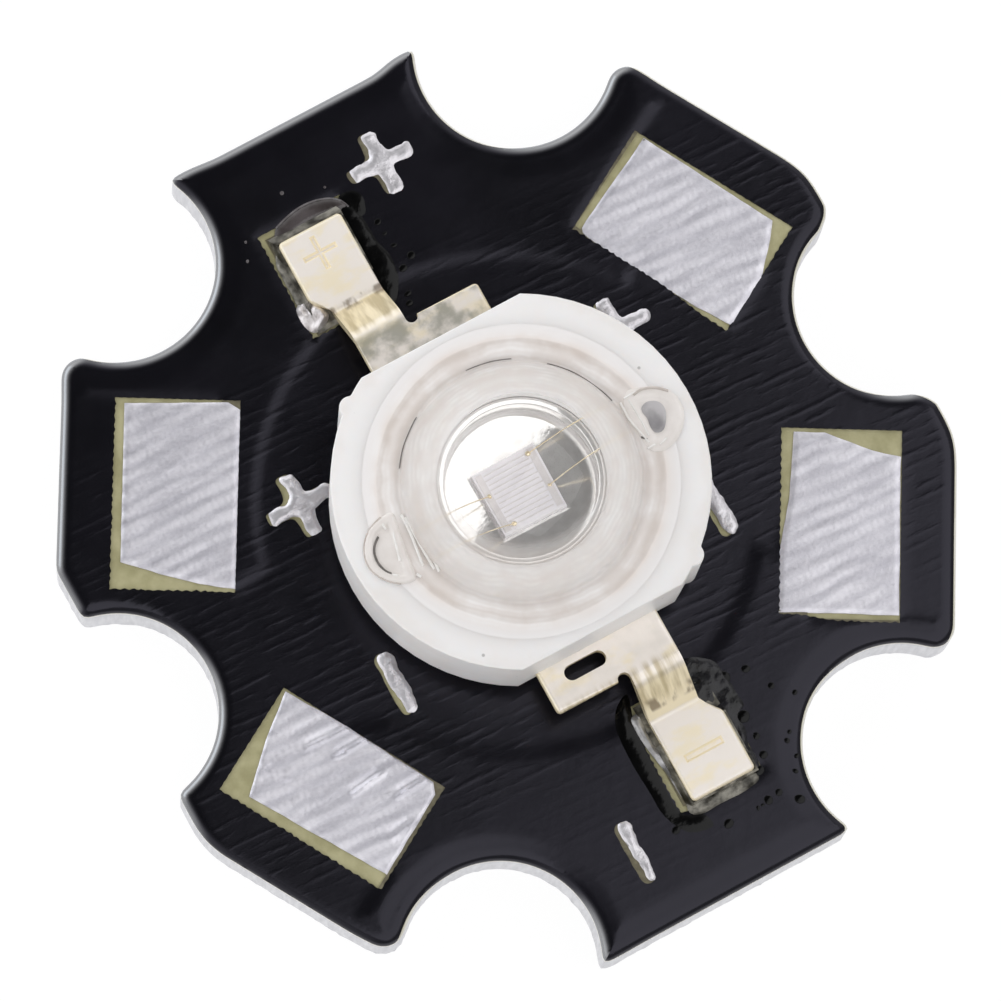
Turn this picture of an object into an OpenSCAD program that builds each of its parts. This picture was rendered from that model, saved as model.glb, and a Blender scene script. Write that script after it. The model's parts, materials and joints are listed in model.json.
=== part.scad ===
// Star board with a power lamp: a punched aluminium star, its printed circuit and one round emitter.
// Millimetres, +Z up, underside of the board on Z = 0, centre of the star on the Z axis.

/* [Board] */
// Width across opposite flats of the star
across_flats = 19.2; // [19:0.1:20]
// Full thickness of the board with its printed layers
board_height = 1.6; // [1.2:0.1:2]
// Radius of the six screw notches
notch_radius = 2.2; // [1.9:0.05:2.3]
// Distance of four of the notch centres from the middle
notch_reach = 9.87; // [9.7:0.01:10]
// Distance of the two deeper notch centres from the middle
deep_notch_reach = 9.5; // [9.4:0.01:9.6]
// Corner radius beside four of the notches
corner_radius = 0.42; // [0.3:0.01:0.5]

/* [Printed layers] */
// Thickness of the insulation on the aluminium
insulation_thickness = 0.09; // [0.06:0.01:0.12]
// Thickness of the copper tracks
copper_thickness = 0.04; // [0.03:0.005:0.05]
// Thickness of the tin on the bare copper, the lacquer ends level with it
tin_thickness = 0.02; // [0.015:0.005:0.03]
// Sideways slip of the lacquer against the copper
lacquer_slip = -0.1; // [-0.15:0.01:0]
// Inner radius of the copper ring that joins the pads
ring_inner = 5.4; // [5.2:0.05:5.6]
// Arm length of the polarity marks from their middle
mark_arm = 0.76; // [0.6:0.02:0.8]
// Line width of the polarity marks
mark_width = 0.38; // [0.3:0.02:0.46]

/* [Lamp] */
// Sideways place of the lamp on the board
lamp_x = 0.13; // [-0.05:0.01:0.2]
// Lengthways place of the lamp on the board
lamp_y = -0.1; // [-0.2:0.01:0.05]
// Radius of the round housing
housing_radius = 4; // [3.9:0.02:4.1]
// Distance of the two flats of the housing from its middle
housing_flat = 3.52; // [3.48:0.02:3.6]
// Height of the housing above the board
housing_height = 3.4; // [3.35:0.05:3.6]
// Height of the lens top above the board
lens_height = 5.3; // [5:0.05:5.6]
// Radius of the lens dome at its foot
dome_radius = 2.55; // [2.5:0.01:2.56]
// Rim radius of the reflector cup
cup_radius = 1.25; // [1.15:0.01:1.4]
// Depth of the reflector cup
cup_depth = 0.85; // [0.8:0.05:0.9]
// Side of the square chip
chip_side = 1; // [0.9:0.05:1.05]
// Thickness of the bond wires
wire_thickness = 0.06; // [0.04:0.01:0.08]

/* [Leads] */
// Sheet thickness of the two leads
lead_thickness = 0.3; // [0.25:0.01:0.35]
// Height of the lead plates above the board, measured to their underside
lead_height = 1.05; // [1:0.05:1.15]
// Distance of the foot ends from the middle of the lamp
lead_reach = 7.41; // [7.2:0.05:7.5]
// Width of the lead foot
foot_width = 1.52; // [1.45:0.01:1.6]
// Slope of the lead between plate and foot
lead_slope = 52; // [48:1:60]

/* [Hidden] */
$fn = 64;
eps = 0.01;
flat_half = across_flats / 2;
k = flat_half / 9.6;
mask_thickness = copper_thickness + tin_thickness;
z_top = board_height;
z_copper = z_top - mask_thickness;
z_tin = z_top - tin_thickness;
z_base = z_copper - insulation_thickness;
mark_half = mark_width / 2;
plus_places = [[-2.92, 7.36], [-4.47, -0.17], [2.26, 3.84]];
minus_places = [[2.9, -7.46], [4.46, 0.07], [-2.3, -3.96]];
left_tin = [
    [-8.275, 1.92], [-6.07, 2.0], [-5.8, 1.84], [-5.8, -2.03],
    [-6.585, -1.93], [-7.45, -1.73], [-8.26, -1.51],
];
right_tin = [
    [6.115, 1.7], [6.76, 1.7], [7.81, 1.34], [8.4, 1.22],
    [8.4, -2.2], [5.83, -2.2], [5.83, -0.94], [6.03, 0.22],
];
upper_tin = [
    [2.755, 8.06], [5.56, 6.33], [5.52, 5.95], [5.34, 5.06],
    [4.72, 4.02], [2.59, 5.1], [1.42, 5.99], [1.6, 6.29],
];
lower_tin = [
    [-4.67, -4.22], [-3.29, -4.98], [-1.48, -6.08], [-1.44, -6.34],
    [-2.42, -8.06], [-5.37, -6.48], [-5.05, -5.26],
];
anode_outline = concat(
    [[-8.275, 1.92], [-8.26, -1.51], [-7.45, -1.73], [-6.585, -1.93], [-5.8, -2.03]],
    [for (i = [0:38]) ring_inner * [cos(197 - 3.5 * i), sin(197 - 3.5 * i)]],
    [[2.59, 5.1], [4.72, 4.02], [5.34, 5.06], [5.52, 5.95], [5.56, 6.33], [2.755, 8.06], [1.6, 6.29], [1.42, 6.02]],
    [[1.3, 6.1], [2.62, 8.2], [6.7, 14.7], [0, 30], [-26, 15], [-30, 2.1], [-6.2, 2.1], [-6.2, 1.97]]
);
cathode_outline = concat(
    [[6.115, 1.7], [6.76, 1.7], [7.81, 1.34], [8.4, 1.22], [8.4, -2.19], [6.45, -2.19], [6.45, -2.33]],
    [[30, -2.33], [26, -15], [0, -30], [-5.36, -13.2], [-2.42, -8.06], [-5.37, -6.48], [-5.05, -5.26]],
    [[-4.67, -4.22], [-3.29, -4.98]],
    [for (i = [0:36]) ring_inner * [cos(243 + 3 * i), sin(243 + 3 * i)]],
    [[5.83, -0.94], [6.03, 0.22]]
);
lead_pad_size = [2.02, 2.55];
lead_pad_place = [-0.985, 6.38];
foot_gap = 0.05;
grease_top = 0.06;
slug_base_top = 0.85;
flange_floor = housing_height - 0.3;
cavity_floor = flange_floor - 0.5;
cup_rim = flange_floor - 0.1;
cup_floor = cup_rim - cup_depth;
slug_radius = 2.95;
grease_radius = slug_radius - 0.05;
cup_lean = 0.15;
rim_radius = cup_radius + 0.12;
skirt_radius = 3.45;
cavity_radius = 2.9;
flange_radius = 3.35;
pedestal_radius = rim_radius + 0.03;
pocket_foot = 2.2;
pocket_head = 1.9;
lens_pocket = flange_floor + 0.45;
die_top = cup_floor + 0.02;
chip_top = die_top + 0.14;
metal_top = chip_top + 0.015;
post_top = cavity_floor + 0.04;
post_radius = 2.575;
flange_width = flange_radius - dome_radius;
vent_place = dome_radius + 0.4625 * flange_width;
vent_radius = 0.4 * flange_width;
dome_rise = lens_height - housing_height;
dome_sphere = (dome_radius * dome_radius + dome_rise * dome_rise) / (2 * dome_rise);
plate_x0 = -1.42;
plate_x1 = 1.48;
neck_x1 = -0.25;
foot_x0 = neck_x1 - foot_width;
plate_y = 4.5;
bend = 0.15;
lead_rise = lead_height - foot_gap;
bend_sum = 2 * bend + lead_thickness;
slope_run = (lead_rise - bend_sum * (1 - cos(lead_slope))) / sin(lead_slope);
lead_run = bend_sum * sin(lead_slope) + slope_run * cos(lead_slope);
wire_ends = [
    [0.36 * chip_side, 0.4 * chip_side, 0.5],
    [0.42 * chip_side, -0.14 * chip_side, -0.1],
    [-0.3 * chip_side, -0.4 * chip_side, -0.5],
    [-0.42 * chip_side, 0.12 * chip_side, 0.1],
];

// A flat slab of a drawing between two heights
module slab(low, high) {
    translate([0, 0, low])
        linear_extrude(height = high - low)
            children();
}

// A rectangle from corner to corner
module box2(x0, y0, x1, y1) {
    translate([x0, y0])
        square([x1 - x0, y1 - y0]);
}

// Everything that lies turned with the lamp, on the top of the board
module lamp() {
    translate([lamp_x, lamp_y, z_top])
        rotate([0, 0, 30])
            children();
}

// The six-sided blank, drawn inset by a margin
module hexagon(margin) {
    intersection_for (n = [0:2])
        rotate(60 * n)
            square([2 * (flat_half - margin), 40], center = true);
}

// One round notch along +X, open to the outside
module notch(reach, margin) {
    r = notch_radius + margin;
    translate([reach, 0]) {
        circle(r);
        translate([0.2, -0.9 * r])
            square([8, 1.8 * r]);
    }
}

// What is taken off a corner to leave a round that runs into the notch: the arm lies along +X
module corner_cut() {
    n = [notch_reach * cos(30), notch_reach * sin(30)];
    span = notch_radius + corner_radius - 0.004;
    u = flat_half - corner_radius;
    v = n[1] - sqrt(span * span - (u - n[0]) * (u - n[0]));
    start = n[0] + (u - n[0]) * notch_radius / span;
    difference() {
        translate([start, v])
            square(corner_radius + 0.6);
        translate([u, v])
            circle(corner_radius);
    }
}

// What is taken off a corner to leave a slant: the arm lies along +X, the deep notch above it
module slant_cut() {
    polygon([
        [flat_half, 1.7], [flat_half + 1, 1.7], [flat_half + 1, 4],
        [flat_half - 0.72, 4], [flat_half - 0.72, 2.93],
    ]);
}

// Outline of the star, inset by a margin
module star(margin = 0) {
    difference() {
        hexagon(margin);
        for (a = [90, 150, 270, 330])
            rotate(a)
                notch(notch_reach, margin);
        for (a = [30, 210])
            rotate(a)
                notch(deep_notch_reach, margin);
        if (margin == 0) {
            for (a = [60, 240])
                rotate(a)
                    corner_cut();
            for (a = [0, 180])
                rotate(a)
                    mirror([0, 1])
                        corner_cut();
            for (a = [0, 180])
                rotate(a)
                    slant_cut();
            for (a = [60, 240])
                rotate(a)
                    mirror([0, 1])
                        slant_cut();
        }
    }
}

// A printed shape that grows with the star
module printed(points) {
    polygon([for (p = points) [p[0] * k, p[1] * k]]);
}

// The bare rectangle round one wire pad, arm along +X
module pad_window(radius, across, along) {
    translate([radius * k, 0])
        square([across * k, along * k], center = true);
}

// The four openings of the lacquer round the wire pads
module pad_windows() {
    translate([0, lacquer_slip]) {
        translate([0, 0.07])
            rotate(180)
                pad_window(7.15, 2.7, 4.18);
        translate([0, -0.13])
            pad_window(7.13, 2.62, 4.08);
        translate([0, 0.06])
            rotate(59.5)
                pad_window(7.14, 2.6, 4.02);
        translate([0, -0.02])
            rotate(239.5)
                pad_window(7.14, 2.6, 4.06);
    }
}

// The rectangle under one lead foot, for the anode or turned round for the cathode
module lead_pad() {
    translate(lead_pad_place)
        square(lead_pad_size, center = true);
}

// A plus mark
module plus() {
    rotate(30) {
        square([2 * mark_arm, mark_width], center = true);
        square([mark_width, 2 * mark_arm], center = true);
    }
}

// A minus mark with rounded ends
module minus() {
    rotate(120) {
        square([2 * (mark_arm - mark_half), 2 * mark_half], center = true);
        for (s = [-1, 1])
            translate([s * (mark_arm - mark_half), 0])
                circle(mark_half);
    }
}

// All the polarity marks
module marks() {
    for (p = plus_places)
        translate(p * k)
            plus();
    for (p = minus_places)
        translate(p * k)
            minus();
}

// A wedge from one angle to another, out to past the board
module wedge(from, to) {
    steps = 6;
    polygon(concat([[0, 0]], [for (i = [0:steps]) let (a = from + (to - from) * i / steps) 30 * [cos(a), sin(a)]]));
}

// Copper of one side: what its outline covers of the star, less the bare strips at the lead pad
module copper_layer(outline, turn, strip) {
    slab(z_copper, z_tin)
        difference() {
            intersection() {
                star(0.35);
                printed(outline);
            }
            rotate(turn)
                polygon(strip);
        }
}

// Copper of the plus side
module anode_layer() {
    copper_layer(anode_outline, 30, [
        [-1.995, 5.105], [-1.86, 5.105], [-1.86, 7.52], [0.025, 7.52], [0.025, 7.655], [-1.995, 7.655],
    ]);
}

// Copper of the minus side
module cathode_layer() {
    copper_layer(cathode_outline, 210, [
        [0.025, 5.105], [-0.12, 5.105], [-0.12, 7.52], [-1.995, 7.52], [-1.995, 7.655], [0.025, 7.655],
    ]);
}

// Outline of a lead seen from above, plate beside the housing and foot out along +Y
module lead_plan() {
    difference() {
        polygon([
            [plate_x0, 2.2], [plate_x1, 2.2], [plate_x1, plate_y], [neck_x1, plate_y],
            [neck_x1, lead_reach], [foot_x0, lead_reach], [foot_x0, 5.96], [plate_x0, 5.6],
        ]);
        translate([neck_x1 + 0.14, plate_y])
            circle(0.14);
        circle(post_radius + 0.1);
    }
}

// Points on an arc about a centre
function arc(centre, radius, from, to, steps) =
    [for (i = [0:steps]) let (a = from + (to - from) * i / steps) centre + radius * [cos(a), sin(a)]];

// Side view of a lead: foot, slope, plate
module lead_side() {
    y1 = plate_y + lead_run;
    low = [y1, foot_gap + lead_thickness + bend];
    high = [plate_y, lead_height - bend];
    outer = bend + lead_thickness;
    polygon(concat(
        [[9, foot_gap + lead_thickness], [9, foot_gap]],
        arc(low, outer, -90, -90 - lead_slope, 10),
        arc(high, bend, 90 - lead_slope, 90, 10),
        [[1, lead_height], [1, lead_height + lead_thickness]],
        arc(high, outer, 90, 90 - lead_slope, 10),
        arc(low, bend, -90 - lead_slope, -90, 10)
    ));
}

// Part of a lead that is moulded into the housing: an arc round the slug and the post for the wires
module lead_root() {
    slab(lead_height, lead_height + lead_thickness)
        intersection() {
            difference() {
                circle(post_radius + 0.275);
                circle(post_radius - 0.225);
            }
            wedge(60, 196);
        }
    slab(lead_height, post_top)
        intersection() {
            difference() {
                circle(post_radius + 0.2);
                circle(post_radius - 0.2);
            }
            wedge(164, 196);
        }
}

// One lead, drawn for the anode
module lead() {
    intersection() {
        slab(-1, 4)
            lead_plan();
        translate([-4, 0, 0])
            rotate([90, 0, 90])
                linear_extrude(height = 8)
                    lead_side();
    }
    lead_root();
}

// Long hole that tells the cathode lead apart
module lead_slot() {
    slab(0, 3)
        union() {
            box2(0.165, 3.68, 0.795, 4.02);
            translate([0.165, 3.85])
                circle(0.17);
            translate([0.795, 3.85])
                circle(0.17);
        }
}

// A cross pressed into the top of the anode foot
module stamped_plus() {
    top = foot_gap + lead_thickness;
    translate([-0.92, 6.78, top - 0.04])
        for (a = [0, 90])
            rotate(a)
                translate([-0.28, -0.045, 0])
                    cube([0.56, 0.09, 1]);
}

// A line pressed into the top of the cathode foot
module stamped_minus() {
    top = foot_gap + lead_thickness;
    translate([-1.28, 6.6, top - 0.03])
        cube([0.72, 0.14, 1]);
}

// Solder under and beside a foot
module solder_joint(side) {
    slip = [-lamp_x * cos(30) - lamp_y * sin(30), lamp_x * sin(30) - lamp_y * cos(30), 0];
    difference() {
        hull() {
            translate(side * slip)
                slab(-tin_thickness, 0.02)
                    box2(-1.82, 5.16, -0.18, 7.48);
            slab(0.05, 0.2)
                box2(foot_x0 - 0.05, 5.98, neck_x1 + 0.05, lead_reach + 0.05);
        }
        translate([0, 0, 0.001])
            slab(foot_gap - 0.001, 1)
                box2(foot_x0, 5.98, neck_x1, lead_reach);
        slab(foot_gap, 1)
            box2(plate_x0 - 0.4, 4.5, neck_x1 + 0.3, 5.99);
    }
}

// Reflector cup, as the hollow that is left in the slug
module cup_hollow() {
    translate([0, 0, cup_floor])
        cylinder(h = cup_depth, r1 = cup_radius - cup_lean, r2 = cup_radius);
}

// One bond wire in the lamp, from the chip to a post
module wire(end) {
    side = end[0] > 0 ? 1 : -1;
    span = post_radius - abs(end[0]);
    turn = atan2(end[2] - end[1], side * span);
    length = sqrt(span * span + (end[2] - end[1]) * (end[2] - end[1]));
    z0 = metal_top + 0.03;
    z1 = post_top + 0.03;
    chord = sqrt(length * length + (z1 - z0) * (z1 - z0));
    tilt = atan2(z1 - z0, length);
    bow = 0.66;
    r = (chord * chord / 4 + bow * bow) / (2 * bow);
    half = asin(chord / 2 / r);
    translate([end[0], end[1], metal_top])
        cylinder(h = 0.05, r = 0.055);
    translate([side * post_radius, end[2], post_top])
        cylinder(h = 0.05, r = 0.055);
    translate([end[0], end[1], z0])
        rotate([0, 0, turn])
            rotate([0, -tilt, 0])
                translate([chord / 2, 0, bow - r])
                    rotate([90, 0, 0])
                        rotate([0, 0, 90 - half])
                            rotate_extrude(angle = 2 * half)
                                translate([r, 0])
                                    circle(wire_thickness / 2);
}

// Comb of metal lines on the chip, drawn for one side
module comb(shift) {
    side = chip_side;
    lines = 6;
    pitch = 0.82 * side / (2 * lines - 1);
    slab(chip_top, metal_top) {
        translate([-0.47 * side, -0.46 * side])
            square([0.1 * side, 0.92 * side]);
        for (n = [0:lines - 1])
            translate([-0.38 * side, -0.41 * side + pitch * (2 * n + shift) - 0.009])
                square([0.72 * side, 0.018]);
    }
}

module base_plate() {
    color("silver")
        slab(0, z_base)
            star();
}

module insulation_layer() {
    color("darkkhaki")
        slab(z_base, z_copper)
            star();
}

module anode_copper() {
    color("peru")
        anode_layer();
}

module cathode_copper() {
    color("peru")
        cathode_layer();
}

module thermal_pad() {
    color("peru")
        slab(z_copper, z_tin)
            translate([lamp_x, lamp_y])
                circle(slug_radius + 0.05);
}

module solder_mask() {
    color("dimgray")
        difference() {
            slab(z_copper, z_top)
                difference() {
                    star();
                    pad_windows();
                    marks();
                    rotate(30)
                        lead_pad();
                    rotate(210)
                        lead_pad();
                    translate([lamp_x, lamp_y])
                        circle(slug_radius + 0.15);
                }
            anode_layer();
            cathode_layer();
        }
}

// Tin on one wire pad: the copper that shows in the window
module tin(points) {
    color("gainsboro")
        slab(z_tin, z_top)
            intersection() {
                printed(points);
                pad_windows();
            }
}

module left_wire_pad() {
    tin(left_tin);
}

module upper_wire_pad() {
    tin(upper_tin);
}

module right_wire_pad() {
    tin(right_tin);
}

module lower_wire_pad() {
    tin(lower_tin);
}

// A polarity mark of tin, down to the copper or to the insulation
module mark(place, low) {
    color("gainsboro")
        slab(low, z_top + 0.03)
            translate(place * k)
                children();
}

module plus_mark_arm() {
    mark(plus_places[0], z_tin)
        plus();
}

module plus_mark_left() {
    mark(plus_places[1], z_copper)
        plus();
}

module plus_mark_right() {
    mark(plus_places[2], z_copper)
        plus();
}

module minus_mark_arm() {
    mark(minus_places[0], z_tin)
        minus();
}

module minus_mark_right() {
    mark(minus_places[1], z_copper)
        minus();
}

module minus_mark_lower() {
    mark(minus_places[2], z_copper)
        minus();
}

module anode_solder() {
    color("lightgray")
        lamp()
            solder_joint(1);
}

module cathode_solder() {
    color("lightgray")
        lamp()
            rotate([0, 0, 180])
                solder_joint(-1);
}

module thermal_grease() {
    color("whitesmoke")
        lamp()
            slab(-tin_thickness, grease_top)
                circle(grease_radius);
}

// Slug without the lamp placing
module slug_shape() {
    difference() {
        union() {
            slab(grease_top, slug_base_top)
                circle(slug_radius);
            slab(slug_base_top - eps, cavity_floor)
                circle(pedestal_radius);
            slab(cavity_floor - eps, cup_rim)
                circle(rim_radius);
        }
        cup_hollow();
        slab(cup_rim - eps, 4)
            circle(cup_radius);
    }
}

module heat_slug() {
    color("lightsteelblue")
        lamp()
            slug_shape();
}

module housing() {
    color("white")
        lamp()
            difference() {
                union() {
                    slab(0.25, 0.95)
                        circle(skirt_radius);
                    slab(0.9, housing_height)
                        intersection() {
                            union() {
                                circle(housing_radius);
                                for (a = [128, 308])
                                    rotate(a)
                                        translate([housing_radius - 0.1, 0])
                                            circle(0.24);
                            }
                            square([12, 2 * housing_flat], center = true);
                        }
                }
                slab(0, slug_base_top)
                    circle(slug_radius);
                slab(0, cavity_floor + eps)
                    circle(pedestal_radius);
                slab(cavity_floor, 4)
                    circle(cavity_radius);
                slab(flange_floor, 4)
                    circle(flange_radius);
                lead();
                rotate([0, 0, 180])
                    lead();
            }
}

module anode_lead() {
    color("gold")
        lamp()
            difference() {
                lead();
                stamped_plus();
            }
}

module cathode_lead() {
    color("gold")
        lamp()
            rotate([0, 0, 180])
                difference() {
                    lead();
                    lead_slot();
                    stamped_minus();
                }
}

module die_attach() {
    color("silver")
        lamp()
            slab(cup_floor, die_top)
                square(chip_side + 0.06, center = true);
}

module led_chip() {
    color("slategray")
        lamp()
            slab(die_top, chip_top)
                square(chip_side, center = true);
}

module chip_metal_plus() {
    color("gold")
        lamp()
            comb(0);
}

module chip_metal_minus() {
    color("gold")
        lamp()
            rotate([0, 0, 180])
                comb(0);
}

module bond_wire_1() {
    color("goldenrod")
        lamp()
            wire(wire_ends[0]);
}

module bond_wire_2() {
    color("goldenrod")
        lamp()
            wire(wire_ends[1]);
}

module bond_wire_3() {
    color("goldenrod")
        lamp()
            wire(wire_ends[2]);
}

module bond_wire_4() {
    color("goldenrod")
        lamp()
            wire(wire_ends[3]);
}

module encapsulant() {
    color("aliceblue", 0.4)
        lamp()
            difference() {
                union() {
                    slab(cavity_floor, flange_floor)
                        circle(cavity_radius);
                    translate([0, 0, flange_floor - eps])
                        cylinder(h = lens_pocket - flange_floor + eps, r1 = pocket_foot, r2 = pocket_head);
                    cup_hollow();
                }
                difference() {
                    slab(1, cup_rim)
                        circle(rim_radius);
                    cup_hollow();
                }
                slab(cup_floor, die_top)
                    square(chip_side + 0.06, center = true);
                slab(die_top, chip_top)
                    square(chip_side, center = true);
                comb(0);
                rotate([0, 0, 180])
                    comb(0);
                for (e = wire_ends)
                    wire(e);
                lead_root();
                rotate([0, 0, 180])
                    lead_root();
            }
}

module lens() {
    color("lightcyan", 0.4)
        lamp()
            difference() {
                union() {
                    slab(flange_floor, housing_height)
                        circle(flange_radius);
                    intersection() {
                        translate([0, 0, lens_height - dome_sphere])
                            sphere(dome_sphere);
                        slab(housing_height - eps, lens_height + 1)
                            circle(dome_radius);
                    }
                }
                translate([0, 0, flange_floor - eps])
                    cylinder(h = lens_pocket - flange_floor + eps, r1 = pocket_foot, r2 = pocket_head);
                for (s = [-1, 1])
                    translate([s * vent_place, 0, flange_floor - 1])
                        cylinder(h = 3, r = vent_radius);
            }
}

// Cured drop in one filling hole of the lens flange
module vent_plug(side) {
    color("azure", 0.5)
        lamp()
            translate([side * vent_place, 0, 0]) {
                slab(flange_floor, housing_height)
                    circle(vent_radius);
                intersection() {
                    translate([0, 0, housing_height - 0.46])
                        sphere(sqrt(vent_radius * vent_radius + 0.46 * 0.46));
                    slab(housing_height, housing_height + 1)
                        circle(vent_radius);
                }
            }
}

module vent_plug_right() {
    vent_plug(1);
}

module vent_plug_left() {
    vent_plug(-1);
}

base_plate();
insulation_layer();
anode_copper();
cathode_copper();
thermal_pad();
solder_mask();
left_wire_pad();
upper_wire_pad();
right_wire_pad();
lower_wire_pad();
plus_mark_arm();
plus_mark_left();
plus_mark_right();
minus_mark_arm();
minus_mark_right();
minus_mark_lower();
anode_solder();
cathode_solder();
thermal_grease();
heat_slug();
housing();
anode_lead();
cathode_lead();
die_attach();
led_chip();
chip_metal_plus();
chip_metal_minus();
bond_wire_1();
bond_wire_2();
bond_wire_3();
bond_wire_4();
encapsulant();
lens();
vent_plug_right();
vent_plug_left();
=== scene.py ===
"""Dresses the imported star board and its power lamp: finishes, fine shapes, light and camera.

Sizes in this file are millimetres in the part's frame; they become metres where a mesh is made.
"""

import json
import logging
import math
from collections.abc import Callable, Mapping, Sequence
from dataclasses import dataclass, field
from enum import Enum
from typing import Any

import bmesh
import bpy
import numpy as np
from bpy.types import Material, Mesh, Node, NodeSocket, NodeTree, Object
from mathutils import Matrix, Quaternion, Vector, noise
from mathutils.geometry import delaunay_2d_cdt

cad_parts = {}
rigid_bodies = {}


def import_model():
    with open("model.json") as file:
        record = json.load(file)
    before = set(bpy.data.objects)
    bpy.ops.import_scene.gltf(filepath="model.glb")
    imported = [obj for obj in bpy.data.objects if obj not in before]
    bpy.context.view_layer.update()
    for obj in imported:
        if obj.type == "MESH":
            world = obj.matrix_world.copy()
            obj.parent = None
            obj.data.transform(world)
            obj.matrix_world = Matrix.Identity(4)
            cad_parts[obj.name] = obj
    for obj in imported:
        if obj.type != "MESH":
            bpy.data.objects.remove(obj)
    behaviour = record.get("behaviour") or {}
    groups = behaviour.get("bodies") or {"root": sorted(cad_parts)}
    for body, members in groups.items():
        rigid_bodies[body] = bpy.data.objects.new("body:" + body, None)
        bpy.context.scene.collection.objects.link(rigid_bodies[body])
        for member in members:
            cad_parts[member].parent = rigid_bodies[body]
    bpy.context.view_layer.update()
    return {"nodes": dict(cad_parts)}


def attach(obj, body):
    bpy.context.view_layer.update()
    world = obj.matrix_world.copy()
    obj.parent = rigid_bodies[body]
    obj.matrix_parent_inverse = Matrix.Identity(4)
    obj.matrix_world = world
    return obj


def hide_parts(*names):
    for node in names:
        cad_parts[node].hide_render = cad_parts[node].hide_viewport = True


LOG = logging.getLogger("star_board")
MM = 0.001
BODY = "root"
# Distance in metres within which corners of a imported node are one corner
WELD = 2e-7
# Keeps the mitre of a sharp corner short
MITRE_LIMIT = 0.35
# Rounded edges: angle from which an edge is rounded, angle that stays sharp afterwards, steps of the round
ROUND_FROM = math.radians(35)
ROUND_SHARP = 44.0
ROUND_STEPS = 3
# Radius outside which the body's edges are rounded, and where the foot of a lead begins
BODY_OUTSIDE = 3.45
FOOT_FROM = 5.6
# Least face and length of an edge of a lead that is rounded
WIDE_FACE = 0.06
LONG_EDGE = 0.12
Points = np.ndarray
Pair = tuple[float, float]
Triple = tuple[float, float, float]
Relief = Callable[[Points], np.ndarray]
Colour = tuple[float, float, float, float]


def rgb(red: float, green: float, blue: float) -> Colour:
    """A colour of full cover."""
    return (red, green, blue, 1.0)


# Levels of the board's layers above its underside
Z_BASE = 1.45
Z_COPPER = 1.54
Z_TIN = 1.58
Z_TOP = 1.60
Z_MARK = 1.63
# The lamp's place on the board: everything of the lamp is turned by this angle about this point
LAMP_TURN = math.radians(30)
LAMP_PLACE = (0.13, -0.10, Z_TOP)
LAMP = Matrix.Translation(LAMP_PLACE) @ Matrix.Rotation(LAMP_TURN, 4, "Z")
# Direction of the fine lines that the printing screen leaves on the board
SCREEN_TURN = math.radians(27)


class Slot(Enum):
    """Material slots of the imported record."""

    ALUMINIUM = "aluminium"
    INSULATION = "insulation"
    LACQUER = "lacquer"
    TIN = "tin"
    SOLDER = "solder"
    SILVERED = "silvered"
    PLASTIC = "white_plastic"
    LEAD = "plated_lead"
    GOLD = "gold"
    SILICONE = "silicone"
    LENS = "clear_lens"


# Flat outlines


def level_loops(mesh: Mesh, height: float) -> list[Points]:
    """Finds the outlines of a mesh's upward face at one height.

    Args:
        mesh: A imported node's mesh, in metres.
        height: Height of the face.

    Returns:
        The closed outlines, the longest first, each with the face on its left.
    """
    work = bmesh.new()
    work.from_mesh(mesh)
    bmesh.ops.remove_doubles(work, verts=work.verts, dist=WELD)
    work.verts.index_update()
    spots = np.array([v.co[:] for v in work.verts]) / MM
    edges: set[tuple[int, int]] = set()
    for face in work.faces:
        ids = [v.index for v in face.verts]
        if face.normal.z > 0.9 and abs(spots[ids, 2] - height).max() < 1e-3:
            edges.update(zip(ids, ids[1:] + ids[:1]))
    work.free()
    follow = {a: b for a, b in edges if (b, a) not in edges}
    loops = []
    while follow:
        start, here = follow.popitem()
        loop = [start]
        while here != start:
            loop.append(here)
            here = follow.pop(here)
        loops.append(spots[loop, :2])
    return sorted(loops, key=lambda lp: -float(np.linalg.norm(lp - np.roll(lp, 1, 0), axis=1).sum()))


def resample(loop: Points, pitch: float) -> Points:
    """Puts more points on a closed outline, its corners kept.

    Args:
        loop: The outline.
        pitch: Greatest distance between points.

    Returns:
        The finer outline.
    """
    made = []
    for a, b in zip(loop, np.roll(loop, -1, 0)):
        n = max(1, math.ceil(float(np.linalg.norm(b - a)) / pitch))
        made.extend(a + (b - a) * i / n for i in range(n))
    return np.array(made)


def outward(loop: Points) -> Points:
    """Finds the mitred normals of a closed outline.

    Args:
        loop: The outline.

    Returns:
        At each point the way from what lies on its left, longer at corners.
    """
    step = np.roll(loop, -1, 0) - loop
    step = step / np.linalg.norm(step, axis=1)[:, None]
    right = np.c_[step[:, 1], -step[:, 0]]
    before = np.roll(right, 1, 0)
    return (right + before) / np.maximum(1 + (right * before).sum(1), MITRE_LIMIT)[:, None]


def inset(loop: Points, depth: float | np.ndarray) -> Points:
    """A closed outline moved towards what lies on its left."""
    return loop - outward(loop) * np.reshape(depth, (-1, 1))


def inside(points: Points, loop: Points) -> np.ndarray:
    """Says which points lie within a closed outline.

    Args:
        points: The points.
        loop: The outline.

    Returns:
        True for each point within.
    """
    x, y = points.T
    hit = np.zeros(len(points), bool)
    for (x0, y0), (x1, y1) in zip(loop, np.roll(loop, -1, 0)):
        if y0 != y1:
            hit ^= ((y0 > y) != (y1 > y)) & (x < (x1 - x0) * (y - y0) / (y1 - y0) + x0)
    return hit


def distance(points: Points, loops: Sequence[Points]) -> np.ndarray:
    """Measures how far points are from the nearest of some closed outlines.

    Args:
        points: The points.
        loops: The outlines.

    Returns:
        The distance of each point.
    """
    best = np.full(len(points), 1e9)
    for loop in loops:
        for a, b in zip(loop, np.roll(loop, -1, 0)):
            run = b - a
            t = np.clip(((points - a) @ run) / (run @ run), 0, 1)
            gap = points - a - t[:, None] * run
            best = np.minimum(best, gap[:, 0] ** 2 + gap[:, 1] ** 2)
    return np.sqrt(best)


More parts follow.
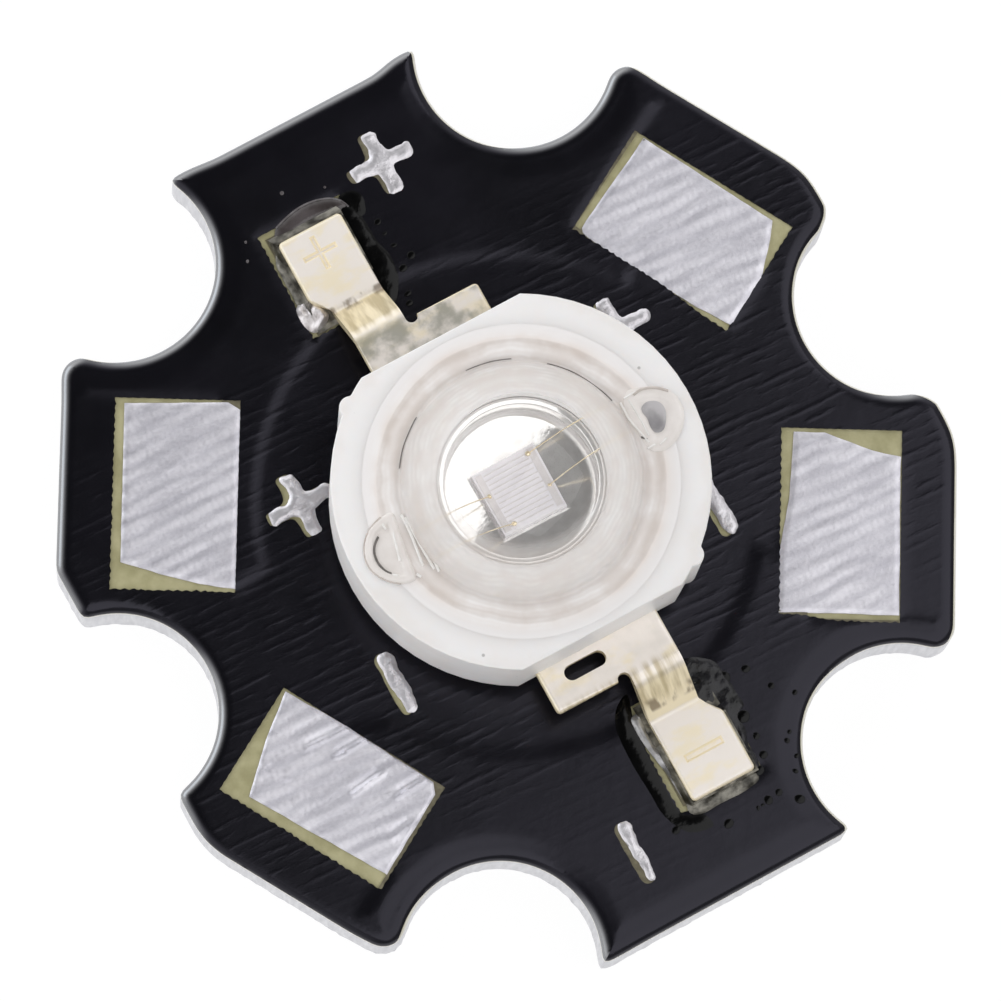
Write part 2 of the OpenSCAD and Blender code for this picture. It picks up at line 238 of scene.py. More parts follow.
def rounded_loop(points: Sequence[Pair], pitch: float) -> Points:
    """Draws a smooth closed curve through a few points.

    Args:
        points: The points, in order.
        pitch: Greatest distance between points of the curve.

    Returns:
        The curve, with what it encloses on its left.
    """
    knots = np.array(points, float)
    ahead = np.roll(knots, -1, 0)
    if (knots[:, 0] * ahead[:, 1] - ahead[:, 0] * knots[:, 1]).sum() < 0:
        knots = knots[::-1]
    made = []
    for i in range(len(knots)):
        a, b, c, d = (knots[(i + k) % len(knots)] for k in (-1, 0, 1, 2))
        n = max(2, math.ceil(float(np.linalg.norm(c - b)) / pitch))
        square = 2 * a - 5 * b + 4 * c - d
        cube = 3 * b - a - 3 * c + d
        for t in np.arange(n) / n:
            made.append(0.5 * (2 * b + (c - a) * t + square * t**2 + cube * t**3))
    return np.array(made)


def softened(loop: Points, share: float | np.ndarray, rounds: int) -> Points:
    """Rounds the corners of a closed outline.

    Args:
        loop: The outline, with points at an even pitch.
        share: How far each point moves towards its neighbours in one round, 0 to 0.5.
        rounds: Number of rounds.

    Returns:
        The rounded outline.
    """
    for _ in range(rounds):
        middle = (np.roll(loop, 1, 0) + np.roll(loop, -1, 0)) / 2
        loop = loop + (middle - loop) * np.reshape(share, (-1, 1))
    return loop


def shrunk(loop: Points, depth: float, move: float = 0.03) -> Points:
    """Moves a closed outline inwards by small smoothed moves, so that no corner crosses itself.

    Args:
        loop: The outline.
        depth: How far it moves.
        move: Greatest single move.

    Returns:
        The smaller outline.
    """
    moves = max(1, math.ceil(depth / move))
    for _ in range(moves):
        loop = softened(inset(loop, depth / moves), share=0.3, rounds=3)
    return loop


def ripple(points: Points, scale: float, seed: float) -> np.ndarray:
    """Smooth unevenness from -1 to 1 at each point, with waves of about 1 / scale."""
    return np.array([noise.noise(Vector((p[0] * scale, p[1] * scale, seed))) for p in points])


def ease(values: np.ndarray, low: float, high: float) -> np.ndarray:
    """Smooth step from 0 at low to 1 at high."""
    t = np.clip((values - low) / (high - low), 0, 1)
    return t * t * (3 - 2 * t)


def turned(points: Points, angle: float) -> Points:
    """Points in axes that are turned by an angle."""
    c, s = math.cos(angle), math.sin(angle)
    return np.c_[points[:, 0] * c + points[:, 1] * s, points[:, 1] * c - points[:, 0] * s]


def from_lamp(points: Sequence[Sequence[float]]) -> Points:
    """Flat points of the lamp's own axes, in the board's axes."""
    return turned(np.array(points, float), -LAMP_TURN) + np.array(LAMP_PLACE[:2])


def raised(flat: Points, height: float) -> Points:
    """Flat points at one height."""
    return np.c_[flat, np.full(len(flat), height)]


def nearness(points: Points, place: Pair, full: float, none: float) -> np.ndarray:
    """1 within a first distance of a place, 0 beyond a second, smooth between them."""
    return 1 - ease(np.linalg.norm(points - np.array(place), axis=1), full, none)


# Meshes


@dataclass
class Solid:
    """Corners and faces of a piece, in millimetres."""

    corners: Points
    faces: list[tuple[int, ...]]

    def mesh(self, name: str) -> Mesh:
        """Makes a mesh with its faces outwards.

        Args:
            name: Name of the mesh.

        Returns:
            The mesh, in metres.
        """
        made = bpy.data.meshes.new(name)
        made.from_pydata([tuple(c) for c in self.corners * MM], [], self.faces)
        work = bmesh.new()
        work.from_mesh(made)
        bmesh.ops.remove_doubles(work, verts=work.verts, dist=1e-9)
        bmesh.ops.recalc_face_normals(work, faces=work.faces)
        work.to_mesh(made)
        work.free()
        return made

    def moved(self, matrix: Matrix) -> "Solid":
        """The same shape at another place."""
        m = np.array(matrix)
        return Solid(self.corners @ m[:3, :3].T + m[:3, 3], self.faces)


@dataclass
class Sheet:
    """A flat layer with holes, in triangles fine enough to carry a relief."""

    outer: Points
    holes: list[Points] = field(default_factory=list)
    pitch: float = 0.12
    guides: list[Points] = field(default_factory=list)
    guide_gap: float = 0.02
    grid_gap: float = 0.6

    def triangles(self) -> tuple[Points, list[tuple[int, ...]]]:
        """Meshes the layer.

        Returns:
            The flat corners and the triangles between them.
        """
        loops = [self.outer, *self.holes]
        edges, count = [], 0
        for loop in loops:
            n = len(loop)
            edges += [(count + i, count + (i + 1) % n) for i in range(n)]
            count += n
        spots = [np.concatenate(loops)]
        for guide in self.guides:
            spots.append(guide[self.within(guide) & (distance(guide, loops) > self.guide_gap)])
        low, high = self.outer.min(0), self.outer.max(0)
        rise = self.pitch * math.sqrt(3) / 2
        rows = [
            np.c_[x, np.full(len(x), low[1] + j * rise)]
            for j in range(int((high[1] - low[1]) / rise) + 1)
            for x in [np.arange(low[0] + self.pitch / 2 * (j % 2), high[0], self.pitch)]
        ]
        grid = np.concatenate(rows)
        grid = grid[self.within(grid)]
        spots.append(grid[distance(grid, loops + self.guides) > self.grid_gap * self.pitch])
        flat = [Vector((float(p[0]), float(p[1]))) for p in np.concatenate(spots)]
        corners, _, faces, *_ = delaunay_2d_cdt(flat, edges, [], 0, 1e-5)
        points = np.array([(c.x, c.y) for c in corners])
        keep = self.within(np.array([points[list(f)].mean(0) for f in faces]))
        return points, [tuple(f) for f, k in zip(faces, keep) if k]

    def within(self, points: Points) -> np.ndarray:
        """Says which points lie on the layer.

        Args:
            points: The points.

        Returns:
            True for each point on it.
        """
        hit = inside(points, self.outer)
        for hole in self.holes:
            hit &= ~inside(points, hole)
        return hit

    def solid(self, top: Relief, low: Relief) -> Solid:
        """Gives the layer a top, an underside and walls.

        Args:
            top: Height of the top at each point.
            low: Height of the underside at each point.

        Returns:
            The closed shape.
        """
        points, faces = self.triangles()
        n = len(points)
        seen = {(f[i], f[(i + 1) % 3]) for f in faces for i in range(3)}
        walls = [(b, a, a + n, b + n) for a, b in seen if (b, a) not in seen]
        under = [tuple(i + n for i in reversed(f)) for f in faces]
        corners = np.concatenate([np.c_[points, top(points)], np.c_[points, low(points)]])
        return Solid(corners, faces + under + walls)


def level(height: float) -> Relief:
    """A relief of one height."""
    return lambda points: np.full(len(points), height)


def lathe(profile: Sequence[Pair], segments: int = 128) -> Solid:
    """Turns a profile about the upright axis.

    Args:
        profile: Radius and height pairs; the first and last may lie on the axis.
        segments: Number of steps round the axis.

    Returns:
        The turned shape.
    """
    angles = np.arange(segments) * 2 * math.pi / segments
    round_ = np.c_[np.cos(angles), np.sin(angles)]
    corners = np.concatenate([raised(round_ * r, h) for r, h in profile])
    faces = []
    for k in range(len(profile) - 1):
        for i in range(segments):
            j = (i + 1) % segments
            a, b = k * segments + i, k * segments + j
            c, d = b + segments, a + segments
            if profile[k][0] < 1e-6:
                faces.append((a, c, d))
            elif profile[k + 1][0] < 1e-6:
                faces.append((a, b, c))
            else:
                faces.append((a, b, c, d))
    return Solid(corners, faces)


def arc(middle: Pair, radius: float, start: float, end: float, steps: int) -> list[Pair]:
    """Points on an arc, from one angle in degrees to another."""
    turns = [math.radians(start + (end - start) * i / steps) for i in range(steps + 1)]
    return [(middle[0] + radius * math.cos(t), middle[1] + radius * math.sin(t)) for t in turns]


def scene_object(name: str, data: bpy.types.ID) -> Object:
    """Puts an object with some data into the scene.

    Args:
        name: Name of the object.
        data: Its mesh, light or camera.

    Returns:
        The object.
    """
    made = bpy.data.objects.new(name, data)
    bpy.context.scene.collection.objects.link(made)
    return made


def final_mesh(holder: Object) -> Mesh:
    """The mesh that an object's modifiers make."""
    return bpy.data.meshes.new_from_object(holder.evaluated_get(bpy.context.evaluated_depsgraph_get()))


def loft(rings: Sequence[Points]) -> list[tuple[int, ...]]:
    """Faces between closed rings of equally many points."""
    n = len(rings[0])
    return [
        (k * n + i, k * n + (i + 1) % n, (k + 1) * n + (i + 1) % n, (k + 1) * n + i)
        for k in range(len(rings) - 1)
        for i in range(n)
    ]


# Node trees


class Graph:
    """A node tree that is filled by one method."""

    def __init__(self, tree: NodeTree) -> None:
        """Starts with an empty tree."""
        self.tree = tree
        tree.nodes.clear()

    def node(
        self, kind: str, settings: Mapping[str, Any] | None = None, sockets: Mapping[Any, Any] | None = None
    ) -> Node:
        """Adds a node.

        Args:
            kind: The node's type.
            settings: Its own settings, set first.
            sockets: Values or links of its inputs, by name or number.

        Returns:
            The node.
        """
        made = self.tree.nodes.new(kind)
        for key, value in (settings or {}).items():
            setattr(made, key, value)
        for key, value in (sockets or {}).items():
            self.plug(made.inputs[key], value)
        return made

    def vector(self, operation: str, *inputs: Any) -> Node:
        """Adds a Vector Math node."""
        return self.node("ShaderNodeVectorMath", {"operation": operation}, dict(enumerate(inputs)))

    def plug(self, socket: NodeSocket, value: Any) -> None:
        """Links a socket, or sets it to a constant.

        Args:
            socket: The input.
            value: A number, an output or a constant.
        """
        if isinstance(value, Val):
            value = value.socket
        if isinstance(value, NodeSocket):
            self.tree.links.new(value, socket)
        else:
            socket.default_value = value


@dataclass
class Val:
    """A number of a node tree; operators on it add Math nodes."""

    graph: Graph
    socket: NodeSocket

    def math(self, operation: str, *others: Any) -> "Val":
        """Adds a Math node with this number first."""
        made = self.graph.node("ShaderNodeMath", {"operation": operation}, dict(enumerate((self, *others))))
        return Val(self.graph, made.outputs[0])

    def __add__(self, other: Any) -> "Val":
        """Sum."""
        return self.math("ADD", other)

    def __mul__(self, other: Any) -> "Val":
        """Product."""
        return self.math("MULTIPLY", other)

    def __rsub__(self, other: float) -> "Val":
        """Difference from a plain number."""
        return (self * -1) + other

    def __pow__(self, other: float) -> "Val":
        """Power."""
        return self.math("POWER", other)

    def ramp(self, low: float, high: float) -> "Val":
        """Smooth step from 0 at low to 1 at high."""
        smooth, sockets = {"interpolation_type": "SMOOTHSTEP"}, {0: self, 1: low, 2: high}
        return Val(self.graph, self.graph.node("ShaderNodeMapRange", smooth, sockets).outputs[0])

    def band(self, start: float, full: float, fade: float, end: float) -> "Val":
        """1 from full to fade, 0 before start and after end."""
        return self.ramp(start, full) * (1 - self.ramp(fade, end))

    def wave(self) -> "Val":
        """Its sine, from 0 to 1."""
        return self.math("SINE") * 0.5 + 0.5


class Paint(Graph):
    """A material with one principled shader, whose patterns lie in millimetres."""

    def __init__(self, name: str, **constants: Any) -> None:
        """Starts a material.

        Args:
            name: Name of the material.
            **constants: Values of the shader's sockets that are the same all over, with _ for a space.
        """
        self.material = bpy.data.materials.new(name)
        self.material.use_nodes = True
        super().__init__(self.material.node_tree)
        sockets = {key.replace("_", " "): value for key, value in constants.items()}
        self.shader = self.node("ShaderNodeBsdfPrincipled", None, sockets)
        self.sink = self.node("ShaderNodeOutputMaterial").inputs["Surface"]
        self.surface(self.shader.outputs[0])
        self.coordinates = self.node("ShaderNodeTexCoord").outputs["Object"]

    def place(self, angle: float = 0.0, stretch: Triple = (1, 1, 1)) -> NodeSocket:
        """Gives coordinates in millimetres, in axes turned about the board's normal.

        Args:
            angle: The turn.
            stretch: Factors along the turned axes.

        Returns:
            The coordinates.
        """
        spin = self.node("ShaderNodeMapping", None, {"Vector": self.coordinates, "Rotation": (0, 0, -angle)})
        sized = {"Vector": spin.outputs[0], "Scale": tuple(s / MM for s in stretch)}
        return self.node("ShaderNodeMapping", None, sized).outputs[0]

    def surface(self, shader: NodeSocket) -> None:
        """Makes a shader the one that shows."""
        self.tree.links.new(shader, self.sink)

    def cover(self, share: Val, other: Node) -> None:
        """Lets another shader show by a share."""
        sockets = {0: share, 1: self.shader.outputs[0], 2: other.outputs[0]}
        self.surface(self.node("ShaderNodeMixShader", None, sockets).outputs[0])

    def from_axis(self) -> Val:
        """Measures the distance from the lamp's axis.

        Returns:
            The distance.
        """
        shift = (-LAMP_PLACE[0], -LAMP_PLACE[1], 0.0)
        spot = self.node("ShaderNodeMapping", None, {"Vector": self.place(), "Location": shift}).outputs[0]
        flat = self.vector("MULTIPLY", spot, (1, 1, 0)).outputs[0]
        return Val(self, self.vector("LENGTH", flat).outputs["Value"])

    def upward(self) -> Val:
        """Share of the face's own normal that points up."""
        return self.axis(self.node("ShaderNodeNewGeometry").outputs["True Normal"], 2)

    def axis(self, vector: NodeSocket, index: int) -> Val:
        """One coordinate of a vector."""
        return Val(self, self.node("ShaderNodeSeparateXYZ", None, {0: vector}).outputs[index])

    def grain(self, vector: NodeSocket, scale: float, detail: float = 2.0) -> Val:
        """Noise from 0 to 1 with waves of about 1 / scale."""
        sockets = {"Vector": vector, "Scale": scale, "Detail": detail}
        return Val(self, self.node("ShaderNodeTexNoise", None, sockets).outputs[0])

    def cells(self, vector: NodeSocket, scale: float) -> Val:
        """Distance from the nearest of scattered points."""
        made = self.node("ShaderNodeTexVoronoi", None, {"Vector": vector, "Scale": scale})
        return Val(self, made.outputs[0])

    def blend(self, share: Any, first: Any, second: Any) -> NodeSocket:
        """A colour between two colours."""
        made = self.node("ShaderNodeMix", {"data_type": "RGBA"}, {0: share, 6: first, 7: second})
        return made.outputs[2]

    def bump(self, height: Val, depth: float) -> None:
        """Feeds the shader's normal from a height of 0 to 1 that stands for a depth."""
        sockets = {"Height": height, "Distance": depth * MM}
        self.set("Normal", self.node("ShaderNodeBump", None, sockets).outputs[0])

    def set(self, socket: str, value: Any) -> None:
        """Links or sets a socket of the shader."""
        self.plug(self.shader.inputs[socket], value)


# Finishes


@dataclass(frozen=True)
class Lacquer:
    """Black lacquer with faint broken lines of the screen.

    A painted sheen makes it shine where it rolls off towards the window.
    """

    dark: Colour = rgb(0.0022, 0.0022, 0.0030)
    pale: Colour = rgb(0.0048, 0.0045, 0.0066)
    sheen: Colour = rgb(0.84, 0.82, 1.0)
    coat: Colour = rgb(0.78, 0.87, 1.0)
    line_pitch: float = 0.23
    line_depth: float = 0.0028
    window: Triple = (-0.84, 0.54, 0.0)

    def material(self) -> Material:
        """Builds the finish.

        Returns:
            The material.
        """
        p = Paint(
            "black_lacquer", Specular_IOR_Level=0.40, Specular_Tint=self.sheen,
            Coat_IOR=3.2, Coat_Roughness=0.24, Coat_Tint=self.coat,
        )
        across = p.place(SCREEN_TURN)
        wander = p.grain(across, 0.7) * 3.0
        line = (p.axis(across, 1) * (2 * math.pi / self.line_pitch) + wander).wave() ** 1.6
        broken = p.grain(p.place(SCREEN_TURN, (1.3, 4.6, 1.0)), 1.0, 3.0).ramp(0.40, 0.70)
        arm = p.axis(p.place(math.radians(120)), 0).math("ABSOLUTE")
        printed = 1 - arm.ramp(4.2, 6.2) * 0.85
        peel = p.grain(p.place(), 2.2, 3.0)
        p.bump(line * broken * printed + peel * 0.9, self.line_depth)
        cloud = p.grain(p.place(), 0.35, 3.0)
        p.set("Base Color", p.blend(cloud.ramp(0.3, 0.7), self.dark, self.pale))
        p.set("Roughness", p.grain(across, 1.6, 3.0) * 0.10 + 0.16)
        # Coat weight follows the face's turn towards the window: a painted sheen on those edges alone
        normal = p.node("ShaderNodeNewGeometry").outputs["Normal"]
        lean = p.vector("DOT_PRODUCT", normal, self.window)
        p.set("Coat Weight", Val(p, lean.outputs["Value"]).ramp(0.10, 0.55) * 0.95)
        return p.material


@dataclass(frozen=True)
class Tin:
    """Dull tin with soft streaks along the screen's lines, or bright lumpy tin."""

    name: str
    pale: Colour = rgb(0.86, 0.845, 0.90)
    dark: Colour = rgb(0.52, 0.51, 0.565)
    rough: float = 0.44
    lined: float = 1.0
    depth: float = 0.007
    metallic: float = 0.68
    line_pitch: float = 0.34
    rib_pitch: float = 0.15

    def material(self) -> Material:
        """Builds the finish.

        Returns:
            The material.
        """
        p = Paint(self.name, Metallic=self.metallic)
        across = p.place(SCREEN_TURN)
        wander = p.grain(across, 0.9) * 6.0
        wave = (p.axis(across, 1) * (2 * math.pi / self.line_pitch) + wander).wave()
        lines = wave * (p.grain(p.place(), 0.9, 2.0).ramp(0.30, 0.65) * 0.7 + 0.3) * self.lined
        ribs = (p.axis(across, 0) * (2 * math.pi / self.rib_pitch) + wander * 0.7).wave()
        weave = p.grain(p.place(SCREEN_TURN, (1.0, 4.4, 2.0)), 1.0, 4.0)
        fine = p.grain(p.place(), 14.0, 3.0)
        p.bump(lines * 0.4 + weave * 0.9 + fine * 0.7 + ribs * lines * 0.2, self.depth)
        tone = (lines * 0.30 + weave * 0.70 + fine * 0.35 + ribs * lines * 0.12).ramp(0.20, 1.05)
        p.set("Base Color", p.blend(tone, self.dark, self.pale))
        p.set("Roughness", fine * 0.16 + weave * 0.1 + (self.rough - 0.12))
        return p.material


@dataclass(frozen=True)
class Insulation:
    """Pale yellow-green film that shows round the pads."""

    pale: Colour = rgb(0.47, 0.44, 0.255)
    dark: Colour = rgb(0.34, 0.315, 0.165)
    wall_pale: Colour = rgb(0.80, 0.775, 0.70)

    def material(self) -> Material:
        """Builds the finish.

        Returns:
            The material.
        """
        p = Paint("pale_insulation", Roughness=0.42)
        cloud = p.grain(p.place(), 2.2, 4.0)
        facing = p.upward()
        base = p.blend(cloud.ramp(0.3, 0.7), self.dark, self.pale)
        # The film's walls take a paler colour than its top
        p.set("Base Color", p.blend(facing.ramp(0.45, 0.95), self.wall_pale, base))
        p.bump(p.grain(p.place(), 9.0, 3.0), 0.008)
        return p.material


@dataclass(frozen=True)
class Aluminium:
    """Punched aluminium: upright drag lines on the walls, rolling lines on the underside."""

    pale: Colour = rgb(0.76, 0.76, 0.785)
    dark: Colour = rgb(0.56, 0.56, 0.59)

    def material(self) -> Material:
        """Builds the finish.

        Returns:
            The material.
        """
        p = Paint("punched_aluminium", Metallic=0.75)
        drag = p.grain(p.place(0.0, (9.0, 9.0, 0.9)), 1.0, 3.0)
        rolled = p.grain(p.place(SCREEN_TURN, (0.25, 11.0, 1.0)), 1.0, 3.0)
        tone = (drag * 0.6 + rolled * 0.4).ramp(0.3, 0.7)
        p.set("Base Color", p.blend(tone, self.dark, self.pale))
        p.set("Roughness", drag * 0.2 + rolled * 0.12 + 0.26)
        p.bump(drag * 0.6 + rolled * 0.5, 0.012)
        return p.material


@dataclass(frozen=True)
class Plating:
    """Silver plating over brass: cream faces, gold on bends and edges, partly brass and partly a painted
    highlight.

    Dark mottled patches on the plate are a painted reflection of dark surroundings; burnt marks lie at the
    lower bend.
    """

    name: str
    dark_reflection_share: float
    face: Colour = rgb(0.95, 0.885, 0.82)
    edge: Colour = rgb(0.96, 0.84, 0.58)
    # Colour of the painted dark reflection on the plate
    dull: Colour = rgb(0.19, 0.195, 0.14)
    olive: Colour = rgb(0.46, 0.37, 0.20)
    burnt: Colour = rgb(0.15, 0.10, 0.055)
    plate_from: float = 3.3
    plate_to: float = 4.55
    bend_from: float = 5.20
    bend_to: float = 5.52

    def material(self) -> Material:
        """Builds the finish.

        Returns:
            The material.
        """
        p = Paint(self.name)
        fine = p.grain(p.place(LAMP_TURN, (5.0, 1.2, 3.0)), 1.0, 3.0)
        facing = p.upward()
        # Faces turned away from up take the gold edge colour: partly brass at cut edges, partly a painted
        # highlight on edges and bends
        base = p.blend(facing.ramp(0.50, 0.985), self.edge, self.face)
        reach = p.axis(p.place(LAMP_TURN), 1).math("ABSOLUTE")
        plate = reach.band(self.plate_from, self.plate_from + 0.1, self.plate_to - 0.25, self.plate_to)
        cloud = p.grain(p.place(LAMP_TURN), 1.9, 5.0)
        # Painted reflection: dark mottled patches on the plate's upward faces
        spots = plate * cloud.ramp(0.37, 0.62) * self.dark_reflection_share * facing.ramp(0.8, 0.95)
        smear = p.grain(p.place(LAMP_TURN, (1.6, 3.0, 1.0)), 0.9, 3.0).ramp(0.44, 0.70) * 0.65
        base = p.blend(smear, base, self.edge)
        streak = p.grain(p.place(LAMP_TURN, (8.0, 0.7, 1.0)), 1.0, 3.0).ramp(0.30, 0.68)
        neck = reach.band(self.plate_to - 0.1, self.plate_to + 0.15, self.bend_from, self.bend_to)
        base = p.blend(neck * streak * 0.75, base, self.olive)
        bend = reach.band(self.bend_from, self.bend_from + 0.12, self.bend_to - 0.08, self.bend_to)
        marks = bend * p.grain(p.place(LAMP_TURN, (4.0, 1.6, 1.0)), 1.0, 3.0).ramp(0.44, 0.60) * 0.75
        base = p.blend(marks, base, self.burnt)
        p.set("Base Color", p.blend(spots, base, self.dull))
        p.set("Metallic", 0.34 - reach.ramp(self.bend_from, self.bend_to) * 0.20)
        p.set("Roughness", fine * 0.16 + 0.26)
        p.bump(fine * 0.5 + cloud * 0.8, 0.010)
        return p.material


@dataclass(frozen=True)
class MilkyPlastic:
    """Milky moulded plastic that lets some light in, with faint specks and flow rings."""

    pale: Colour = rgb(0.935, 0.912, 0.908)
    warm: Colour = rgb(0.880, 0.845, 0.825)
    speck: Colour = rgb(0.30, 0.28, 0.27)

    def material(self) -> Material:
        """Builds the finish.

        Returns:
            The material.
        """
        p = Paint(
            "milky_plastic", Subsurface_Weight=0.35,
            Subsurface_Radius=(1.0, 0.85, 0.75), Subsurface_Scale=0.0005,
        )
        cloud = p.grain(p.place(), 0.7, 4.0)
        rings = (p.from_axis() * 9.0 + cloud * 6.0).wave()
        tone = (cloud * 0.8 + rings * 0.2).ramp(0.35, 0.75)
        base = p.blend(tone, self.pale, self.warm)
        speck = 1 - p.cells(p.place(), 1.1).ramp(0.025, 0.05)
        p.set("Base Color", p.blend(speck * 0.6, base, self.speck))
        p.set("Roughness", cloud * 0.2 + 0.30)
        p.bump(p.grain(p.place(), 5.0, 4.0) * 0.6 + rings * 0.3, 0.008)
        return p.material


@dataclass(frozen=True)
class CastLens:
    """Clear cast resin whose flange is pearly, with rings left by the mould.

    Light passes it, so what lies under it isn't in the dark.
    """

    tint: Colour = rgb(1.0, 0.993, 0.98)
    rough: float = 0.012
    bend: float = 1.41
    shade: float = 0.06
    pearl: Colour = rgb(0.84, 0.755, 0.70)
    foam: Colour = rgb(0.98, 0.955, 0.945)
    border: Colour = rgb(0.93, 0.905, 0.90)
    painted_cavity_light: float = 0.40
    painted_cavity_span: Pair = (1.42, 1.77)
    flange_span: Pair = (2.42, 2.80)
    border_span: Pair = (2.95, 3.33)
    cover_span: Pair = (3.0, 3.2)
    ring_span: Pair = (1.6, 2.0)

    def material(self) -> Material:
        """Builds the finish.

        Returns:
            The material.
        """
        p = Paint(
            "clear_lens", Base_Color=self.tint, Roughness=self.rough, IOR=self.bend, Transmission_Weight=1.0
        )
        ray = Val(p, p.node("ShaderNodeLightPath").outputs["Is Shadow Ray"])
        p.set("Alpha", 1 - ray * (1 - self.shade))
        radius = p.from_axis()
        wander = p.grain(p.place(), 0.8, 3.0)
        broad = (radius * 17.0 + wander * 9.0).wave()
        thin = (radius * 62.0 + wander * 22.0).wave()
        patch = p.grain(p.place(), 1.3, 3.0).ramp(0.35, 0.7)
        tone = broad * 0.35 + thin * patch * 0.18 + patch * 0.47
        cast = p.blend(tone, self.pearl, self.foam)
        cast = p.blend(radius.ramp(*self.border_span), cast, self.border)
        sockets = {"Base Color": cast, "Roughness": 0.30, "IOR": self.bend}
        milk = p.node("ShaderNodeBsdfPrincipled", None, sockets)
        # Milky share over the dome round the cup: painted light standing in for the lit white cavity under
        # the clear lens
        share = radius.ramp(*self.painted_cavity_span) * (thin * patch * 0.04 + self.painted_cavity_light)
        share = share + radius.ramp(*self.flange_span) * (broad * 0.10 + patch * 0.08 + 0.36)
        share = share + radius.ramp(*self.cover_span)
        p.bump(broad * patch * radius.ramp(*self.ring_span), 0.0025)
        p.cover(share.math("MINIMUM", 1.0), milk)
        return p.material


@dataclass(frozen=True)
class Silvered:
    """Bright silver plating of the reflector cup, a little dented."""

    pale: Colour = rgb(0.95, 0.94, 0.93)
    dull: Colour = rgb(0.86, 0.845, 0.835)

    def material(self) -> Material:
        """Builds the finish.

        Returns:
            The material.
        """
        p = Paint("silvered_cup", Metallic=0.68)
        fine = p.grain(p.place(), 9.0, 5.0)
        p.set("Base Color", p.blend(fine.ramp(0.35, 0.7), self.pale, self.dull))
        p.set("Roughness", fine * 0.12 + 0.05)
        p.bump(p.grain(p.place(), 5.0, 3.0), 0.004)
        return p.material


@dataclass(frozen=True)
class Plain:
    """A small piece of one stuff, with a fine grain."""

    name: str
    pale: Colour
    dark: Colour
    metallic: float = 0.0
    rough: float = 0.3
    scale: float = 6.0
    depth: float = 0.006
    gloss: float = 0.5

    def material(self) -> Material:
        """Builds the finish.

        Returns:
            The material.
        """
        p = Paint(self.name, Metallic=self.metallic, Specular_IOR_Level=self.gloss)
        fine = p.grain(p.place(), self.scale, 4.0)
        p.set("Base Color", p.blend(fine.ramp(0.3, 0.7), self.dark, self.pale))
        p.set("Roughness", fine * 0.12 + (self.rough - 0.06))
        p.bump(fine, self.depth)
        return p.material


def plain(name: str, pale: Triple, dark: Triple, *rest: float) -> Material:
    """Builds the plain finish of a small piece."""
    return Plain(name, rgb(*pale), rgb(*dark), *rest).material()


class Finishes:
    """All materials, each made once."""

    def __init__(self) -> None:
        """Builds every finish."""
        self.lacquer = Lacquer().material()
        self.tin = Tin("dull_tin").material()
        mark_tin = Tin("lumpy_tin", rgb(0.88, 0.865, 0.90), rgb(0.64, 0.62, 0.65), 0.36, 0.0, 0.014, 0.72)
        self.mark_tin = mark_tin.material()
        self.insulation = Insulation().material()
        self.aluminium = Aluminium().material()
        # The anode's plate carries much painted dark reflection, the cathode's little
        self.anode = Plating("plated_lead_blotched", 0.66).material()
        self.cathode = Plating("plated_lead_clean", 0.10).material()
        self.plastic = MilkyPlastic().material()
        self.lens = CastLens().material()
        self.silvered = Silvered().material()
        self.drop = plain("cured_resin", (0.89, 0.845, 0.815), (0.81, 0.76, 0.725), 0.0, 0.12, 2.2, 0.012)
        self.vent_shade = plain("vent_shadow", (0.56, 0.54, 0.55), (0.27, 0.26, 0.27), 0.0, 0.2, 1.6, 0.01)
        # Darker line along part of a drop's rim
        self.darker_rim = plain("resin_fold", (0.62, 0.56, 0.52), (0.50, 0.44, 0.40), 0.0, 0.3)
        # Resin ridges painted near white: a painted highlight
        self.gloss = plain("pale_ridge", (0.93, 0.91, 0.89), (0.86, 0.83, 0.80), 0.0, 0.12)
        # Dark lines that paint shade in folds and where the dome meets the flange
        self.shade_line = plain("dark_crease", (0.20, 0.18, 0.17), (0.12, 0.11, 0.10), 0.0, 0.4)
        # Dark olive copper: a stain under thin lacquer, and a painted shade line where copper shows at the
        # windows
        self.copper = plain("stained_copper", (0.20, 0.18, 0.115), (0.12, 0.105, 0.065), 0.2, 0.5)
        self.grease = plain("white_paste", (0.75, 0.74, 0.72), (0.65, 0.64, 0.62), 0.0, 0.5)
        self.chip = plain("chip_face", (0.97, 0.95, 0.985), (0.92, 0.90, 0.94), 0.0, 0.3, 2.0, 0.001)
        self.comb = plain("chip_lines", (0.86, 0.83, 0.84), (0.79, 0.755, 0.765), 0.2, 0.3)
        self.gold = plain("gold_wire", (0.97, 0.87, 0.66), (0.92, 0.78, 0.52), 0.9, 0.25)
        self.solder = plain("bright_solder", (0.95, 0.91, 0.92), (0.50, 0.46, 0.455), 0.45, 0.34, 4.5, 0.06)
        pale, dark = (0.50, 0.495, 0.50), (0.20, 0.195, 0.195)
        self.dull_solder = plain("dull_solder", pale, dark, 0.55, 0.34, 3.0, 0.03)
        pale, dark = (0.30, 0.285, 0.245), (0.020, 0.018, 0.013)
        self.burnt = plain("burnt_solder", pale, dark, 0.35, 0.34, 3.4, 0.05)
        pale, dark = (0.0024, 0.0024, 0.0026), (0.001, 0.001, 0.001)
        self.flux = plain("black_flux", pale, dark, 0.0, 0.14, 2.0, 0.02, 0.22)
        pale, dark = (0.015, 0.0145, 0.0185), (0.0018, 0.0018, 0.0024)
        self.scab = plain("flux_scab", pale, dark, 0.0, 0.24, 3.0, 0.05, 0.40)
        self.amber = plain("brown_flux", (0.090, 0.078, 0.080), (0.022, 0.017, 0.015), 0.0, 0.12, 1.5, 0.02)
        self.rim = plain("flux_rim", (0.13, 0.12, 0.125), (0.07, 0.06, 0.062), 0.0, 0.2)


# Geometry node trees


